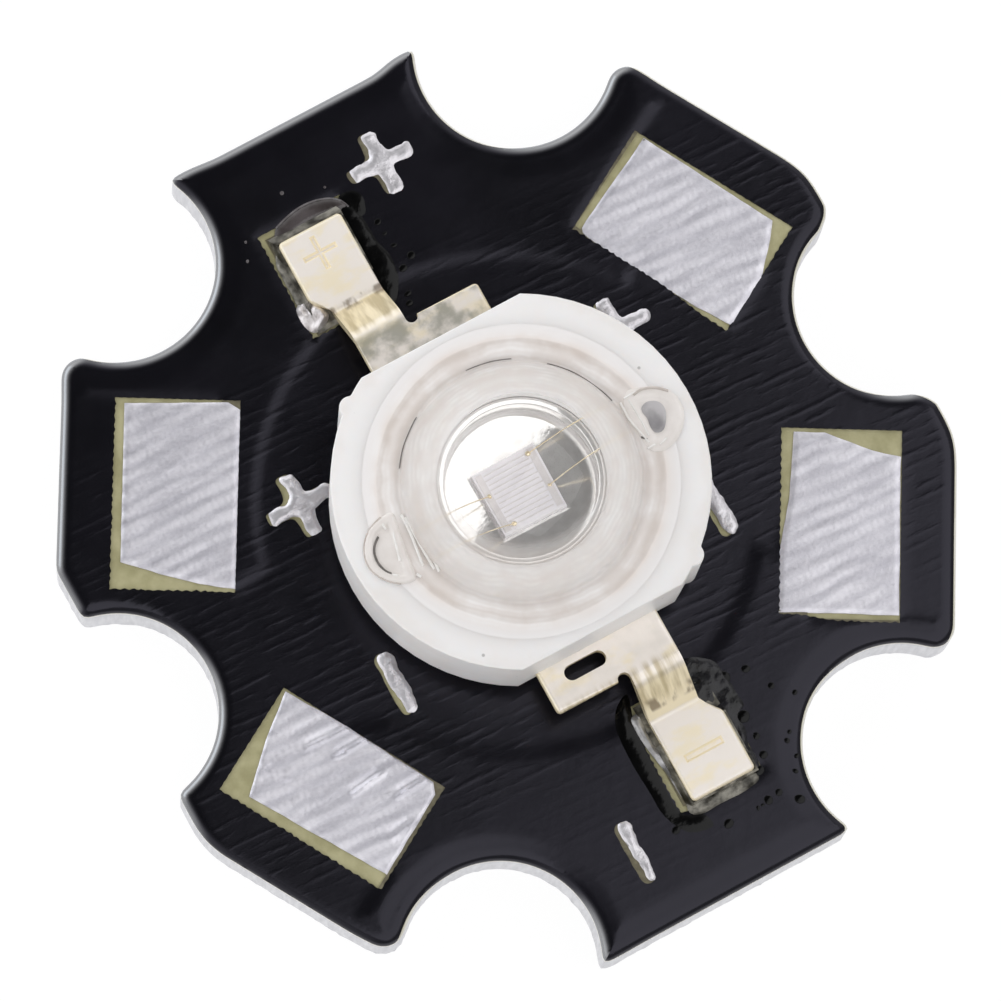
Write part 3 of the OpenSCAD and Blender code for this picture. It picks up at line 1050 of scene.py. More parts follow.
class Net(Graph):
    """A geometry node tree from one mesh to another."""

    def __init__(self, name: str, **values: float) -> None:
        """Starts a tree.

        Args:
            name: Name of the tree.
            **values: Its named inputs with their values; whole numbers make whole-number inputs.
        """
        super().__init__(bpy.data.node_groups.new(name, "GeometryNodeTree"))
        self.values = values
        face = self.tree.interface
        face.new_socket("Geometry", in_out="INPUT", socket_type="NodeSocketGeometry")
        for key, value in values.items():
            kind = "NodeSocketInt" if isinstance(value, int) else "NodeSocketFloat"
            face.new_socket(key, in_out="INPUT", socket_type=kind)
        face.new_socket("Geometry", in_out="OUTPUT", socket_type="NodeSocketGeometry")
        self.given = self.node("NodeGroupInput").outputs

    def close(self, geometry: NodeSocket, material: Material) -> None:
        """Ends the tree with real geometry in one finish.

        Args:
            geometry: What the tree has made.
            material: The finish.
        """
        real = self.node("GeometryNodeRealizeInstances", None, {0: geometry})
        sockets = {"Geometry": real.outputs[0], "Material": material}
        dressed = self.node("GeometryNodeSetMaterial", None, sockets)
        self.node("NodeGroupOutput", None, {0: dressed.outputs[0]})

    def chance(self, low: float, high: float, seed: int) -> Val:
        """A random number for each point."""
        made = self.node("FunctionNodeRandomValue", {"data_type": "FLOAT"}, {2: low, 3: high, "Seed": seed})
        return Val(self, made.outputs[1])

    def mesh(self, base: Mesh) -> Mesh:
        """Runs the tree.

        Args:
            base: The mesh that goes in.

        Returns:
            The mesh that comes out.
        """
        holder = scene_object(self.tree.name, base)
        change = holder.modifiers.new("nodes", "NODES")
        change.node_group = self.tree
        for item in self.tree.interface.items_tree:
            if item.in_out == "INPUT" and item.name in self.values:
                change[item.identifier] = self.values[item.name]
        made = final_mesh(holder)
        bpy.data.objects.remove(holder)
        return made


class Sweep(Net):
    """Round threads along the edges of a mesh, thinner towards their ends if asked."""

    def __init__(self, name: str, radius: float, material: Material, tapered: bool) -> None:
        """Builds the tree.

        Args:
            name: Name of the tree.
            radius: Radius of the threads.
            material: Their finish.
            tapered: Makes them thinner towards their ends.
        """
        super().__init__(name, Radius=radius * MM)
        path = self.node("GeometryNodeMeshToCurve", None, {0: self.given["Geometry"]}).outputs[0]
        along = Val(self, self.node("GeometryNodeSplineParameter").outputs["Factor"])
        full = ((along * math.pi).math("SINE") + 0.02) ** (0.6 if tapered else 0.0)
        sized = self.node("GeometryNodeSetCurveRadius", None, {"Curve": path, "Radius": full})
        circle = {"Resolution": 8, "Radius": self.given["Radius"]}
        ring = self.node("GeometryNodeCurvePrimitiveCircle", None, circle)
        tube = self.node(
            "GeometryNodeCurveToMesh", None,
            {"Curve": sized.outputs[0], "Profile Curve": ring.outputs[0], "Fill Caps": True},
        )
        self.close(tube.outputs[0], material)


class Bubbles(Net):
    """Flat bubbles of mixed sizes on the corners of a mesh."""

    def __init__(self, name: str, size: float, flat: float, seed: int, material: Material) -> None:
        """Builds the tree.

        Args:
            name: Name of the tree.
            size: Mean radius of the bubbles.
            flat: Their height as a share.
            seed: Picks their sizes.
            material: Their finish.
        """
        super().__init__(name, Size=size * MM, Flatness=flat, Seed=seed)
        spots = self.node("GeometryNodeMeshToPoints", None, {0: self.given["Geometry"]}).outputs[0]
        sphere = {"Radius": self.given["Size"], "Subdivisions": 3}
        ball = self.node("GeometryNodeMeshIcoSphere", None, sphere).outputs[0]
        wide, deep = self.chance(0.6, 1.5, seed), self.chance(0.6, 1.3, seed + 1)
        low = Val(self, self.given["Flatness"])
        scale = self.node("ShaderNodeCombineXYZ", None, {0: wide, 1: wide * deep, 2: wide * low}).outputs[0]
        turn = self.node("ShaderNodeCombineXYZ", None, {2: self.chance(0.0, math.pi, seed + 2)}).outputs[0]
        placed = self.node(
            "GeometryNodeInstanceOnPoints", None,
            {"Points": spots, "Instance": ball, "Scale": scale, "Rotation": turn},
        )
        self.close(placed.outputs[0], material)


def open_line(points: Sequence[Pair], height: float, count: int = 24, rounds: int = 4) -> Points:
    """Draws a smooth open line near a few flat points.

    Args:
        points: The points, in order.
        height: Height of the line.
        count: Number of its points.
        rounds: Rounds of smoothing.

    Returns:
        The line.
    """
    knots = np.array(points, float)
    run = np.r_[0.0, np.cumsum(np.linalg.norm(np.diff(knots, axis=0), axis=1))]
    along = np.linspace(0.0, run[-1], count)
    line = np.c_[np.interp(along, run, knots[:, 0]), np.interp(along, run, knots[:, 1])]
    for _ in range(rounds):
        line[1:-1] = (line[:-2] + 2 * line[1:-1] + line[2:]) / 4
    return raised(line, height)


def path_mesh(name: str, lines: Sequence[Points]) -> Mesh:
    """Makes a mesh of edges along some open lines.

    Args:
        name: Name of the mesh.
        lines: Points of the lines.

    Returns:
        The mesh, in metres.
    """
    mesh = bpy.data.meshes.new(name)
    corners = np.concatenate(lines) * MM
    edges, count = [], 0
    for line in lines:
        edges += [(count + i, count + i + 1) for i in range(len(line) - 1)]
        count += len(line)
    mesh.from_pydata([tuple(c) for c in corners], edges, [])
    return mesh


# Pieces


def add_piece(
    name: str,
    mesh: Mesh,
    material: Material,
    slot: Slot | None,
    replaces: Sequence[str] = (),
    sharp: float = 40.0,
) -> Object:
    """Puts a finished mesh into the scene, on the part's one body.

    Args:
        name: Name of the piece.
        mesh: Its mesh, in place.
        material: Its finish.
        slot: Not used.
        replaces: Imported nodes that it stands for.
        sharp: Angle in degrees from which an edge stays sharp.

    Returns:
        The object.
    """
    made = scene_object(name, mesh)
    mesh.materials.clear()
    mesh.materials.append(material)
    mesh.polygons.foreach_set("use_smooth", [True] * len(mesh.polygons))
    mesh.set_sharp_from_angle(angle=math.radians(sharp))
    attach(made, BODY)
    if replaces:
        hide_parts(*replaces)
    LOG.info("%s: %d faces", name, len(mesh.polygons))
    return made


def dress(node: Object, material: Material) -> None:
    """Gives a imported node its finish."""
    node.data.materials.clear()
    node.data.materials.append(material)


def on_outside(edge: bmesh.types.BMEdge) -> bool:
    """Says whether an edge lies on the outside of the lamp's body."""
    middle = Vector(LAMP_PLACE[:2])
    return all((v.co.xy / MM - middle).length > BODY_OUTSIDE for v in edge.verts)


def between_wide_faces(edge: bmesh.types.BMEdge) -> bool:
    """Says whether an edge is long, with a wide face on either side."""
    least = min(f.calc_area() for f in edge.link_faces)
    return least > WIDE_FACE * MM * MM and edge.calc_length() > LONG_EDGE * MM


def close_marks(work: bmesh.types.BMesh) -> None:
    """Closes the shallow mark in the foot of a lead, so that the lead's edges can be rounded first.

    Args:
        work: The lead.
    """
    back = LAMP.inverted()
    foot = {v: (back @ (v.co / MM)).z for v in work.verts if abs((back @ (v.co / MM)).y) > FOOT_FROM}
    top = max(foot.values(), default=0.0)
    sunk = [v for v, height in foot.items() if top - 0.15 < height < top - 0.005]
    bmesh.ops.delete(work, geom=list({f for v in sunk for f in v.link_faces}), context="FACES")
    rim = [e for e in work.edges if e.is_boundary]
    bmesh.ops.triangle_fill(work, edges=rim, use_beauty=True, normal=(0, 0, 1))


def cut(mesh: Mesh, tool: Mesh) -> Mesh:
    """Takes one closed mesh out of another.

    Args:
        mesh: The mesh that is cut.
        tool: The mesh that is taken out.

    Returns:
        What is left.
    """
    holders = [scene_object(each.name, each) for each in (mesh, tool)]
    change = holders[0].modifiers.new("cut", "BOOLEAN")
    change.operation, change.solver, change.object = "DIFFERENCE", "EXACT", holders[1]
    made = final_mesh(holders[0])
    for holder in holders:
        bpy.data.objects.remove(holder)
    return made


def rounded_copy(
    node: Object,
    name: str,
    material: Material,
    slot: Slot,
    width: float,
    pick: Callable[[bmesh.types.BMEdge], bool],
    clamp: bool,
    tool: Mesh | None = None,
) -> None:
    """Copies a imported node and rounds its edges.

    Args:
        node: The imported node, which the copy replaces.
        name: Name of the new piece.
        material: Its finish.
        slot: The record's slot.
        width: Width of the round.
        pick: Says which of the sharp edges are rounded.
        clamp: Narrows the round where it would cross itself.
        tool: A mark that is pressed in afterwards.
    """
    mesh = bpy.data.meshes.new(name)
    work = bmesh.new()
    work.from_mesh(node.data)
    bmesh.ops.remove_doubles(work, verts=work.verts, dist=WELD)
    if tool:
        close_marks(work)
    bmesh.ops.dissolve_limit(work, angle_limit=math.radians(0.5), verts=work.verts, edges=work.edges)
    sharp = [
        e for e in work.edges
        if len(e.link_faces) == 2 and e.calc_face_angle(0.0) > ROUND_FROM and pick(e)
    ]
    bmesh.ops.bevel(
        work, geom=sharp, offset=width * MM, offset_type="OFFSET", segments=ROUND_STEPS,
        profile=0.5, affect="EDGES", clamp_overlap=clamp,
    )
    work.to_mesh(mesh)
    work.free()
    if tool:
        mesh = cut(mesh, tool)
    stale = mesh.attributes.get("custom_normal")
    if stale:
        mesh.attributes.remove(stale)
    made = add_piece(name, mesh, material, slot, [node.name], ROUND_SHARP)
    flat = made.modifiers.new("flat_faces", "WEIGHTED_NORMAL")
    flat.keep_sharp = True
    flat.weight = 100


@dataclass
class Board:
    """The star: punched plate, insulation, lacquer, wire pads and polarity marks."""

    nodes: Mapping[str, Object]
    finishes: Finishes
    roll_width: float = 0.28
    roll_drop: float = 0.17
    roll_share: float = 0.97
    roll_reach: float = 0.827
    wall_lean: float = 0.02
    burr: float = 0.02
    spread: float = 0.045
    copper_step: float = 0.024
    line_pitch: float = 0.34
    mark_rise: float = 0.055
    mark_edge: float = 0.17
    mark_lean: float = 0.025
    worn_mark_lean: float = 0.055
    notch_span: Pair = (2.5, 3.3)
    outline_pitch: float = 0.10
    soft_share: float = 0.05
    soft_rounds: int = 24
    ring_depths: tuple[float, ...] = (0.02, 0.045, 0.08, 0.13, 0.20, 0.27, 0.35)
    step_depths: tuple[float, ...] = (-0.16, -0.06, 0.04, 0.13, 0.22)
    cap_rings: tuple[Pair, ...] = ((0.03, 1.365), (0.09, 1.425), (0.15, Z_BASE))
    tooth_pitch: float = 0.19
    tooth_depth: Pair = (0.012, 0.045)
    mask_inset: Pair = (0.004, 0.055)
    pad_edge: float = 0.07
    pad_lines: float = 0.0022
    pad_waves: float = 0.004
    scratch_width: float = 0.06
    bank_place: float = -0.11
    bank_width: float = 0.042
    bank_reach: float = 0.20
    tooth_way: Pair = (-0.35, -0.94)
    bare_way: Pair = (0.93, 0.37)
    dot_size: float = 1.8
    dot_slip: Pair = (-0.065, -0.03)
    mark_slip: Pair = (0.02, 0.012)
    notch_slips: tuple[tuple[float, float, float, float], ...] = (
        (0.0, 9.87, -0.10, 0.088), (-8.548, 4.935, -0.024, 0.058), (0.0, -9.87, 0.053, 0.02),
    )
    soft_corners: tuple[Triple, ...] = (
        (9.6, 1.7, 0.9), (9.0, 2.75, 0.35), (6.27, 7.46, 0.9), (6.72, 6.45, 0.28), (-6.27, -7.46, 0.5),
    )
    window_slips: tuple[tuple[float, float, float, float, float, float], ...] = (
        (4.70, 3.97, -0.072, -0.108, 0.2, 2.1), (8.44, -2.27, 0.0, -0.12, 1.2, 2.3),
    )

    def __post_init__(self) -> None:
        """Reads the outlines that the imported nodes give."""
        self.star = self.outline()
        self.copper = [
            resample(loop, 0.12)
            for name in ("anode_copper", "cathode_copper")
            for loop in level_loops(self.nodes[name].data, Z_TIN)
        ]

    def outline(self) -> Points:
        """Makes the star's outline as the punch left it.

        Returns:
            The outline: slightly full, with three notches off their places and soft corners.
        """
        loop = level_loops(self.nodes["base_plate"].data, Z_BASE)[0]
        loop = inset(resample(loop, self.outline_pitch), -self.spread)
        for x, y, dx, dy in self.notch_slips:
            loop = loop + nearness(loop, (x, y), *self.notch_span)[:, None] * np.array([dx, dy])
        share = np.full(len(loop), self.soft_share)
        for x, y, wide in self.soft_corners:
            share = np.maximum(share, 0.5 * nearness(loop, (x, y), 0.5 * wide, wide))
        return softened(loop, share, self.soft_rounds)

    def roll(self, points: Points) -> np.ndarray:
        """How far the punch has drawn the edge down, at each point."""
        t = np.clip(1 - distance(points, [self.star]) / self.roll_width, 0, 1)
        return self.roll_drop * (1 - np.sqrt(1 - self.roll_share * t * t)) / self.roll_reach

    def edge_rings(self) -> list[Points]:
        """Outlines along the rolled edge that carry its round."""
        return [shrunk(self.star, d) for d in self.ring_depths]

    def on_copper(self, points: Points) -> np.ndarray:
        """Says where the lacquer lies on copper.

        Args:
            points: The points.

        Returns:
            1 on copper, 0 on the insulation, smooth between them.
        """
        over = np.zeros(len(points), bool)
        for loop in self.copper:
            over ^= inside(points, loop)
        gap = distance(points, self.copper)
        return ease(np.where(over, gap, -gap), self.step_depths[0], self.step_depths[-1])

    def plate(self) -> None:
        """Builds the aluminium star with its torn lower edge."""
        uneven = ripple(self.star, 4.0, 3.1)
        tear = ripple(self.star, 9.0, 7.7)
        lean = self.wall_lean
        burr = lean + self.burr * np.maximum(tear, 0.0) * 1.6
        steps = [
            (0.03, 0.0), (-burr, 0.015 + 0.02 * uneven), (-lean, 0.12 + 0.05 * uneven),
            (-0.75 * lean + 0.008 * uneven, 0.55 + 0.12 * uneven),
            (-0.25 * lean + 0.006 * tear, 0.95 + 0.08 * tear), (0.0, Z_BASE - 0.98 * self.roll_drop),
        ]
        rings = [np.c_[inset(self.star, d), np.broadcast_to(z, len(self.star))] for d, z in steps]
        rings += [raised(shrunk(self.star, d), z) for d, z in self.cap_rings]
        faces = loft(rings)
        last = len(self.star) * (len(rings) - 1)
        for ring, start in ((rings[0], 0), (rings[-1], last)):
            _, cap = Sheet(ring[:, :2], pitch=1e3).triangles()
            faces += [tuple(start + i for i in f) for f in cap]
        mesh = Solid(np.concatenate(rings), faces).mesh("punched_plate")
        add_piece("punched_plate", mesh, self.finishes.aluminium, Slot.ALUMINIUM, ["base_plate"])

    def insulation(self) -> None:
        """Builds the pale film under the copper."""
        sheet = Sheet(self.star, pitch=0.9, guides=self.edge_rings())
        solid = sheet.solid(lambda p: Z_COPPER - self.roll(p), lambda p: Z_BASE - self.roll(p))
        mesh = solid.mesh("insulation_film")
        finish = self.finishes.insulation
        add_piece("insulation_film", mesh, finish, Slot.INSULATION, ["insulation_layer"])

    def window(self, loop: Points) -> Points:
        """Gives an opening of the lacquer the ragged edge of screen printing.

        Args:
            loop: Its outline.

        Returns:
            The ragged outline.
        """
        fine = resample(loop, 0.05)
        for x, y, dx, dy, near, far in self.window_slips:
            fine = fine + nearness(fine, (x, y), near, far)[:, None] * np.array([dx, dy])
        run = np.cumsum(np.linalg.norm(fine - np.roll(fine, 1, 0), axis=1))
        ragged = ripple(fine, 2.6, 1.3)
        saw = np.abs(((run / self.tooth_pitch + 0.35 * ragged) % 1.0) - 0.5) * 2
        facing = ease(-(outward(fine) @ np.array(self.tooth_way)), -0.4, 0.7)
        least, more = self.tooth_depth
        depth = (least + more * facing) * (0.65 + 0.5 * ragged)
        return fine + outward(fine) * (saw * depth)[:, None]

    def lacquer(self) -> None:
        """Builds the black lacquer with its openings and the steps over the copper."""
        loops = level_loops(self.nodes["solder_mask"].data, Z_TOP)
        holes = []
        for loop in loops[1:]:
            if np.hypot(*loop.mean(0)) < 0.5:
                holes.append(resample(loop, 0.3))
            elif np.ptp(loop, 0).max() < self.dot_size:
                edge = softened(resample(loop, 0.06), 0.5, 8)
                edge = inset(edge, -0.03 + 0.03 * ripple(edge, 4.0, 9.0))
                holes.append(edge + np.array(self.dot_slip))
            else:
                holes.append(self.window(loop))
        steps = [inset(loop, d) for loop in self.copper for d in self.step_depths]
        bare = ease(outward(self.star) @ np.array(self.bare_way), 0.2, 0.8)
        least, more = self.mask_inset
        sheet = Sheet(inset(self.star, least + more * bare), holes, 0.15, self.edge_rings() + steps)

        def top(points: Points) -> np.ndarray:
            """Height of the top at each point."""
            return Z_TOP - self.roll(points) - self.copper_step * (1 - self.on_copper(points))

        mesh = sheet.solid(top, lambda p: Z_COPPER - 0.002 - self.roll(p)).mesh("lacquer_coat")
        add_piece("lacquer_coat", mesh, self.finishes.lacquer, Slot.LACQUER, ["solder_mask"])

    def pad(self, node: str, dents: Sequence[tuple[float, ...]] = ()) -> None:
        """Builds the tin of one wire pad.

        Args:
            node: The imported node.
            dents: Scratches as start, end and depth.
        """
        loop = resample(level_loops(self.nodes[node].data, Z_TOP)[0], 0.07)
        loop = inset(loop, -0.012 + 0.012 * ripple(loop, 3.0, 4.4))

        def top(points: Points) -> np.ndarray:
            """Gives the height of the top.

            Args:
                points: Places on it.

            Returns:
                The height at each place.
            """
            rim = np.clip(1 - distance(points, [loop]) / self.pad_edge, 0, 1)
            across = turned(points, SCREEN_TURN)
            lines = np.sin(across[:, 1] * 2 * math.pi / self.line_pitch + 2.5 * ripple(points, 0.8, 2.0))
            waves = ripple(across * np.array([0.35, 1.0]), 3.0, 6.0)
            lift = self.pad_lines * lines + self.pad_waves * waves
            for x0, y0, x1, y1, depth in dents:
                start, run = np.array([x0, y0]), np.array([x1 - x0, y1 - y0])
                t = np.clip(((points - start) @ run) / (run @ run), 0, 1)
                off = points - start - t[:, None] * run
                side = (off @ np.array([-run[1], run[0]])) / np.linalg.norm(run)
                gap = np.linalg.norm(off, axis=1)
                bank = np.exp(-(((side - self.bank_place) / self.bank_width) ** 2)) * (gap < self.bank_reach)
                worn = np.clip(0.55 + 0.8 * ripple(points, 5.0, 8.8), 0.0, 1.3)
                line = np.exp(-((gap / self.scratch_width) ** 2))
                lift = lift - 0.3 * depth * line + 0.9 * depth * bank * worn
            return Z_TOP + 0.012 + lift - 0.04 * (1 - np.sqrt(1 - 0.96 * rim * rim))

        pitch = 0.05 if dents else 0.075
        mesh = Sheet(loop, pitch=pitch).solid(top, level(Z_COPPER - 0.004)).mesh("tin_" + node)
        add_piece("tin_" + node, mesh, self.finishes.tin, Slot.TIN, [node])

    def mark(self, node: str, seed: float, lean: float) -> None:
        """Builds one lumpy polarity mark.

        Args:
            node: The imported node.
            seed: Picks its lumps.
            lean: How far its edge lies inside that of the node.
        """
        loop = resample(level_loops(self.nodes[node].data, Z_MARK)[0], 0.05)
        ragged = 0.06 * ripple(loop, 2.6, seed) + 0.03 * ripple(loop, 6.5, seed + 1)
        loop = inset(softened(loop, 0.5, 8), lean + ragged) + np.array(self.mark_slip)

        def top(points: Points) -> np.ndarray:
            """Gives the height of the top.

            Args:
                points: Places on it.

            Returns:
                The height at each place.
            """
            t = np.clip(1 - distance(points, [loop]) / self.mark_edge, 0, 1)
            lumps = 1 + 0.60 * ripple(points, 1.8, seed + 2) + 0.35 * ripple(points, 5.0, seed + 5)
            return Z_TOP - 0.02 + self.mark_rise * np.sqrt(1 - 0.98 * t * t) * lumps

        mesh = Sheet(loop, pitch=0.045).solid(top, level(Z_COPPER - 0.003)).mesh("tin_" + node)
        add_piece("tin_" + node, mesh, self.finishes.mark_tin, Slot.TIN, [node])

    def build(self) -> None:
        """Builds the whole board."""
        self.plate()
        self.insulation()
        self.lacquer()
        scratches = [
            (-4.13, -5.26, -3.50, -4.94, 0.045), (-3.52, -5.44, -3.11, -5.18, 0.070),
            (-3.17, -6.23, -2.70, -5.88, 0.070), (-2.20, -6.25, -1.82, -5.99, 0.060),
            (-2.32, -7.14, -2.04, -6.92, 0.050), (-4.93, -5.83, -4.67, -5.96, 0.040),
        ]
        for side in ("left", "upper", "right"):
            self.pad(side + "_wire_pad")
        self.pad("lower_wire_pad", scratches)
        marks = [f"plus_mark_{end}" for end in ("arm", "left", "right")]
        marks += [f"minus_mark_{end}" for end in ("arm", "right", "lower")]
        for i, name in enumerate(marks):
            lean = self.worn_mark_lean if name == "minus_mark_arm" else self.mark_lean
            self.mark(name, 3.7 * i + 0.4, lean)
        # Copper in dark olive: partly stain, partly a painted shade line at the window edges
        for name in ("anode_copper", "cathode_copper", "thermal_pad"):
            dress(self.nodes[name], self.finishes.copper)


@dataclass
class Joints:
    """Solder and burnt flux round the feet of the two leads."""

    nodes: Mapping[str, Object]
    finishes: Finishes

    def blob(
        self,
        name: str,
        outline: Sequence[Pair],
        rise: float,
        edge: float,
        lumps: float,
        material: Material,
        slot: Slot | None = None,
    ) -> None:
        """Builds a drop or pool with a rounded edge.

        Args:
            name: Name of the piece.
            outline: Points that its curved outline passes.
            rise: Height above the lacquer.
            edge: Width over which it rises.
            lumps: Share of unevenness.
            material: Its finish.
            slot: The record's slot, if any.
        """
        loop = rounded_loop(outline, 0.06)

        def top(points: Points) -> np.ndarray:
            """Gives the height of the top.

            Args:
                points: Places on it.

            Returns:
                The height at each place.
            """
            t = np.clip(1 - distance(points, [loop]) / edge, 0, 1)
            uneven = 1 + lumps * (ripple(points, 2.4, rise * 40) + 0.5 * ripple(points, 6.0, 3.0))
            return Z_TOP - 0.012 + (rise + 0.012) * np.sqrt(1 - 0.98 * t * t) * uneven

        mesh = Sheet(loop, pitch=0.07).solid(top, level(Z_COPPER + 0.004)).mesh(name)
        add_piece(name, mesh, material, slot)

    def anode(self) -> None:
        """Builds what lies round the foot of the anode lead."""
        f = self.finishes
        strip = [
            (-3.85, 6.42), (-3.52, 6.40), (-3.24, 6.08), (-2.95, 5.63), (-2.67, 5.33), (-2.49, 4.88),
            (-2.51, 4.39), (-2.66, 4.25), (-2.98, 4.55), (-3.35, 5.25), (-3.70, 5.95),
        ]
        self.blob("anode_black_flux", strip, 0.045, 0.25, 0.25, f.flux)
        corner = [
            (-3.80, 6.60), (-3.52, 6.76), (-3.26, 6.58), (-3.22, 6.20), (-3.52, 6.14), (-3.82, 6.36),
        ]
        self.blob("anode_corner_flux", corner, 0.02, 0.22, 0.2, f.flux)
        bow = [
            (-5.15, 5.84), (-4.95, 6.07), (-4.68, 6.31), (-4.34, 6.48), (-4.00, 6.55), (-3.72, 6.50),
            (-3.60, 6.36), (-3.88, 6.15), (-4.50, 5.80), (-5.11, 5.45),
        ]
        self.blob("anode_brown_flux", bow, 0.065, 0.30, 0.12, f.amber)
        edge = path_mesh("anode_flux_rim", [open_line(bow[:7], Z_TOP + 0.012)])
        mesh = Sweep("anode_flux_rim", 0.026, f.rim, True).mesh(edge)
        add_piece("anode_flux_rim", mesh, f.rim, None)
        scab = [
            (-5.10, 5.44), (-4.92, 5.35), (-4.75, 4.92), (-4.50, 4.48), (-4.30, 4.27), (-4.55, 4.05),
            (-4.80, 4.45), (-4.99, 4.77), (-5.13, 5.08),
        ]
        self.blob("anode_burnt_solder", scab, 0.07, 0.2, 0.6, f.burnt)
        lump = [
            (-4.66, 4.10), (-4.44, 4.30), (-4.18, 4.22), (-3.95, 3.98), (-4.05, 3.70), (-4.28, 3.58),
            (-4.52, 3.76),
        ]
        self.blob("anode_solder_lump", lump, 0.15, 0.22, 1.1, f.solder, Slot.SOLDER)
        pits = [
            (-2.96, 6.05), (-2.80, 5.80), (-2.39, 5.05), (-2.22, 5.34), (-2.27, 4.50), (-2.23, 4.29),
            (-2.60, 5.55),
        ]
        self.pits("anode_flux_pits", pits, 0.06, 11, f.flux)
        beads = [(-5.79, 5.52), (-5.74, 5.10), (-5.04, 6.62), (-4.12, 6.78)]
        self.pits("anode_solder_beads", beads, 0.038, 17, f.rim)

    def cathode(self) -> None:
        """Builds what lies round the foot of the cathode lead."""
        f = self.finishes
        pool = [
            (2.62, -4.10), (2.38, -4.44), (2.44, -5.00), (2.74, -5.60), (3.06, -6.10), (3.45, -6.70),
            (3.99, -7.02), (4.52, -6.86), (4.28, -6.58), (3.80, -6.58), (3.25, -5.66), (2.80, -4.77),
        ]
        self.blob("cathode_black_flux", pool, 0.03, 0.28, 0.25, f.flux)
        right = [
            (3.80, -3.30), (4.42, -3.30), (4.72, -3.62), (4.98, -4.02), (5.12, -4.25), (5.00, -4.44),
            (5.16, -4.76), (5.22, -5.10), (5.39, -5.32), (5.45, -5.62), (5.15, -5.60), (4.78, -4.90),
            (4.50, -4.52), (4.05, -4.30), (3.80, -3.90),
        ]
        self.blob("cathode_flux_scab", right, 0.06, 0.16, 0.7, f.scab)
        low = [
            (3.95, -6.25), (4.43, -6.10), (4.88, -5.86), (5.27, -5.64), (5.46, -5.83), (5.10, -6.14),
            (4.66, -6.37), (4.27, -6.60), (3.99, -6.58),
        ]
        self.blob("cathode_low_scab", low, 0.06, 0.14, 0.7, f.burnt)
        strip = [
            (2.70, -4.62), (2.88, -4.50), (3.04, -4.80), (3.26, -5.18), (3.50, -5.52), (3.78, -5.96),
            (3.96, -6.34), (3.80, -6.24), (3.53, -5.82), (3.22, -5.44), (3.00, -5.16), (2.83, -4.90),
        ]
        self.blob("cathode_solder_strip", strip, 0.075, 0.13, 0.5, f.dull_solder, Slot.SOLDER)
        near = [
            (4.26, -3.77), (4.68, -3.66), (5.14, -3.46), (5.11, -4.49), (5.39, -4.90), (5.45, -5.65),
            (5.55, -5.30),
        ]
        self.pits("cathode_flux_bubbles", near, 0.10, 23, f.flux)
        far = [
            (5.69, -3.81), (6.20, -3.94), (6.10, -4.79), (6.05, -4.98), (6.27, -5.30), (6.24, -5.63),
            (5.45, -6.45), (5.55, -6.38), (5.67, -6.27), (5.89, -6.10), (4.83, -6.80), (3.71, -6.97),
            (6.34, -6.23),
        ]
        self.pits("cathode_flux_pits", far, 0.07, 31, f.flux)

    def pits(
        self, name: str, spots: Sequence[Pair], size: float, seed: int, material: Material
    ) -> None:
        """Builds small flat drops at places read off the photo.

        Args:
            name: Name of the piece.
            spots: Their places.
            size: Their mean radius.
            seed: Picks their sizes.
            material: Their finish.
        """
        base = path_mesh(name, [raised(np.array(spots), Z_TOP + 0.008)])
        add_piece(name, Bubbles(name, size, 0.14, seed, material).mesh(base), material, None)

    def build(self) -> None:
        """Builds both joints."""
        # The fillets take the dark burnt finish: partly burnt solder, partly painted shade in the gap beside
        # the feet
        for name in ("anode_solder", "cathode_solder"):
            dress(self.nodes[name], self.finishes.burnt)
        self.anode()
        self.cathode()


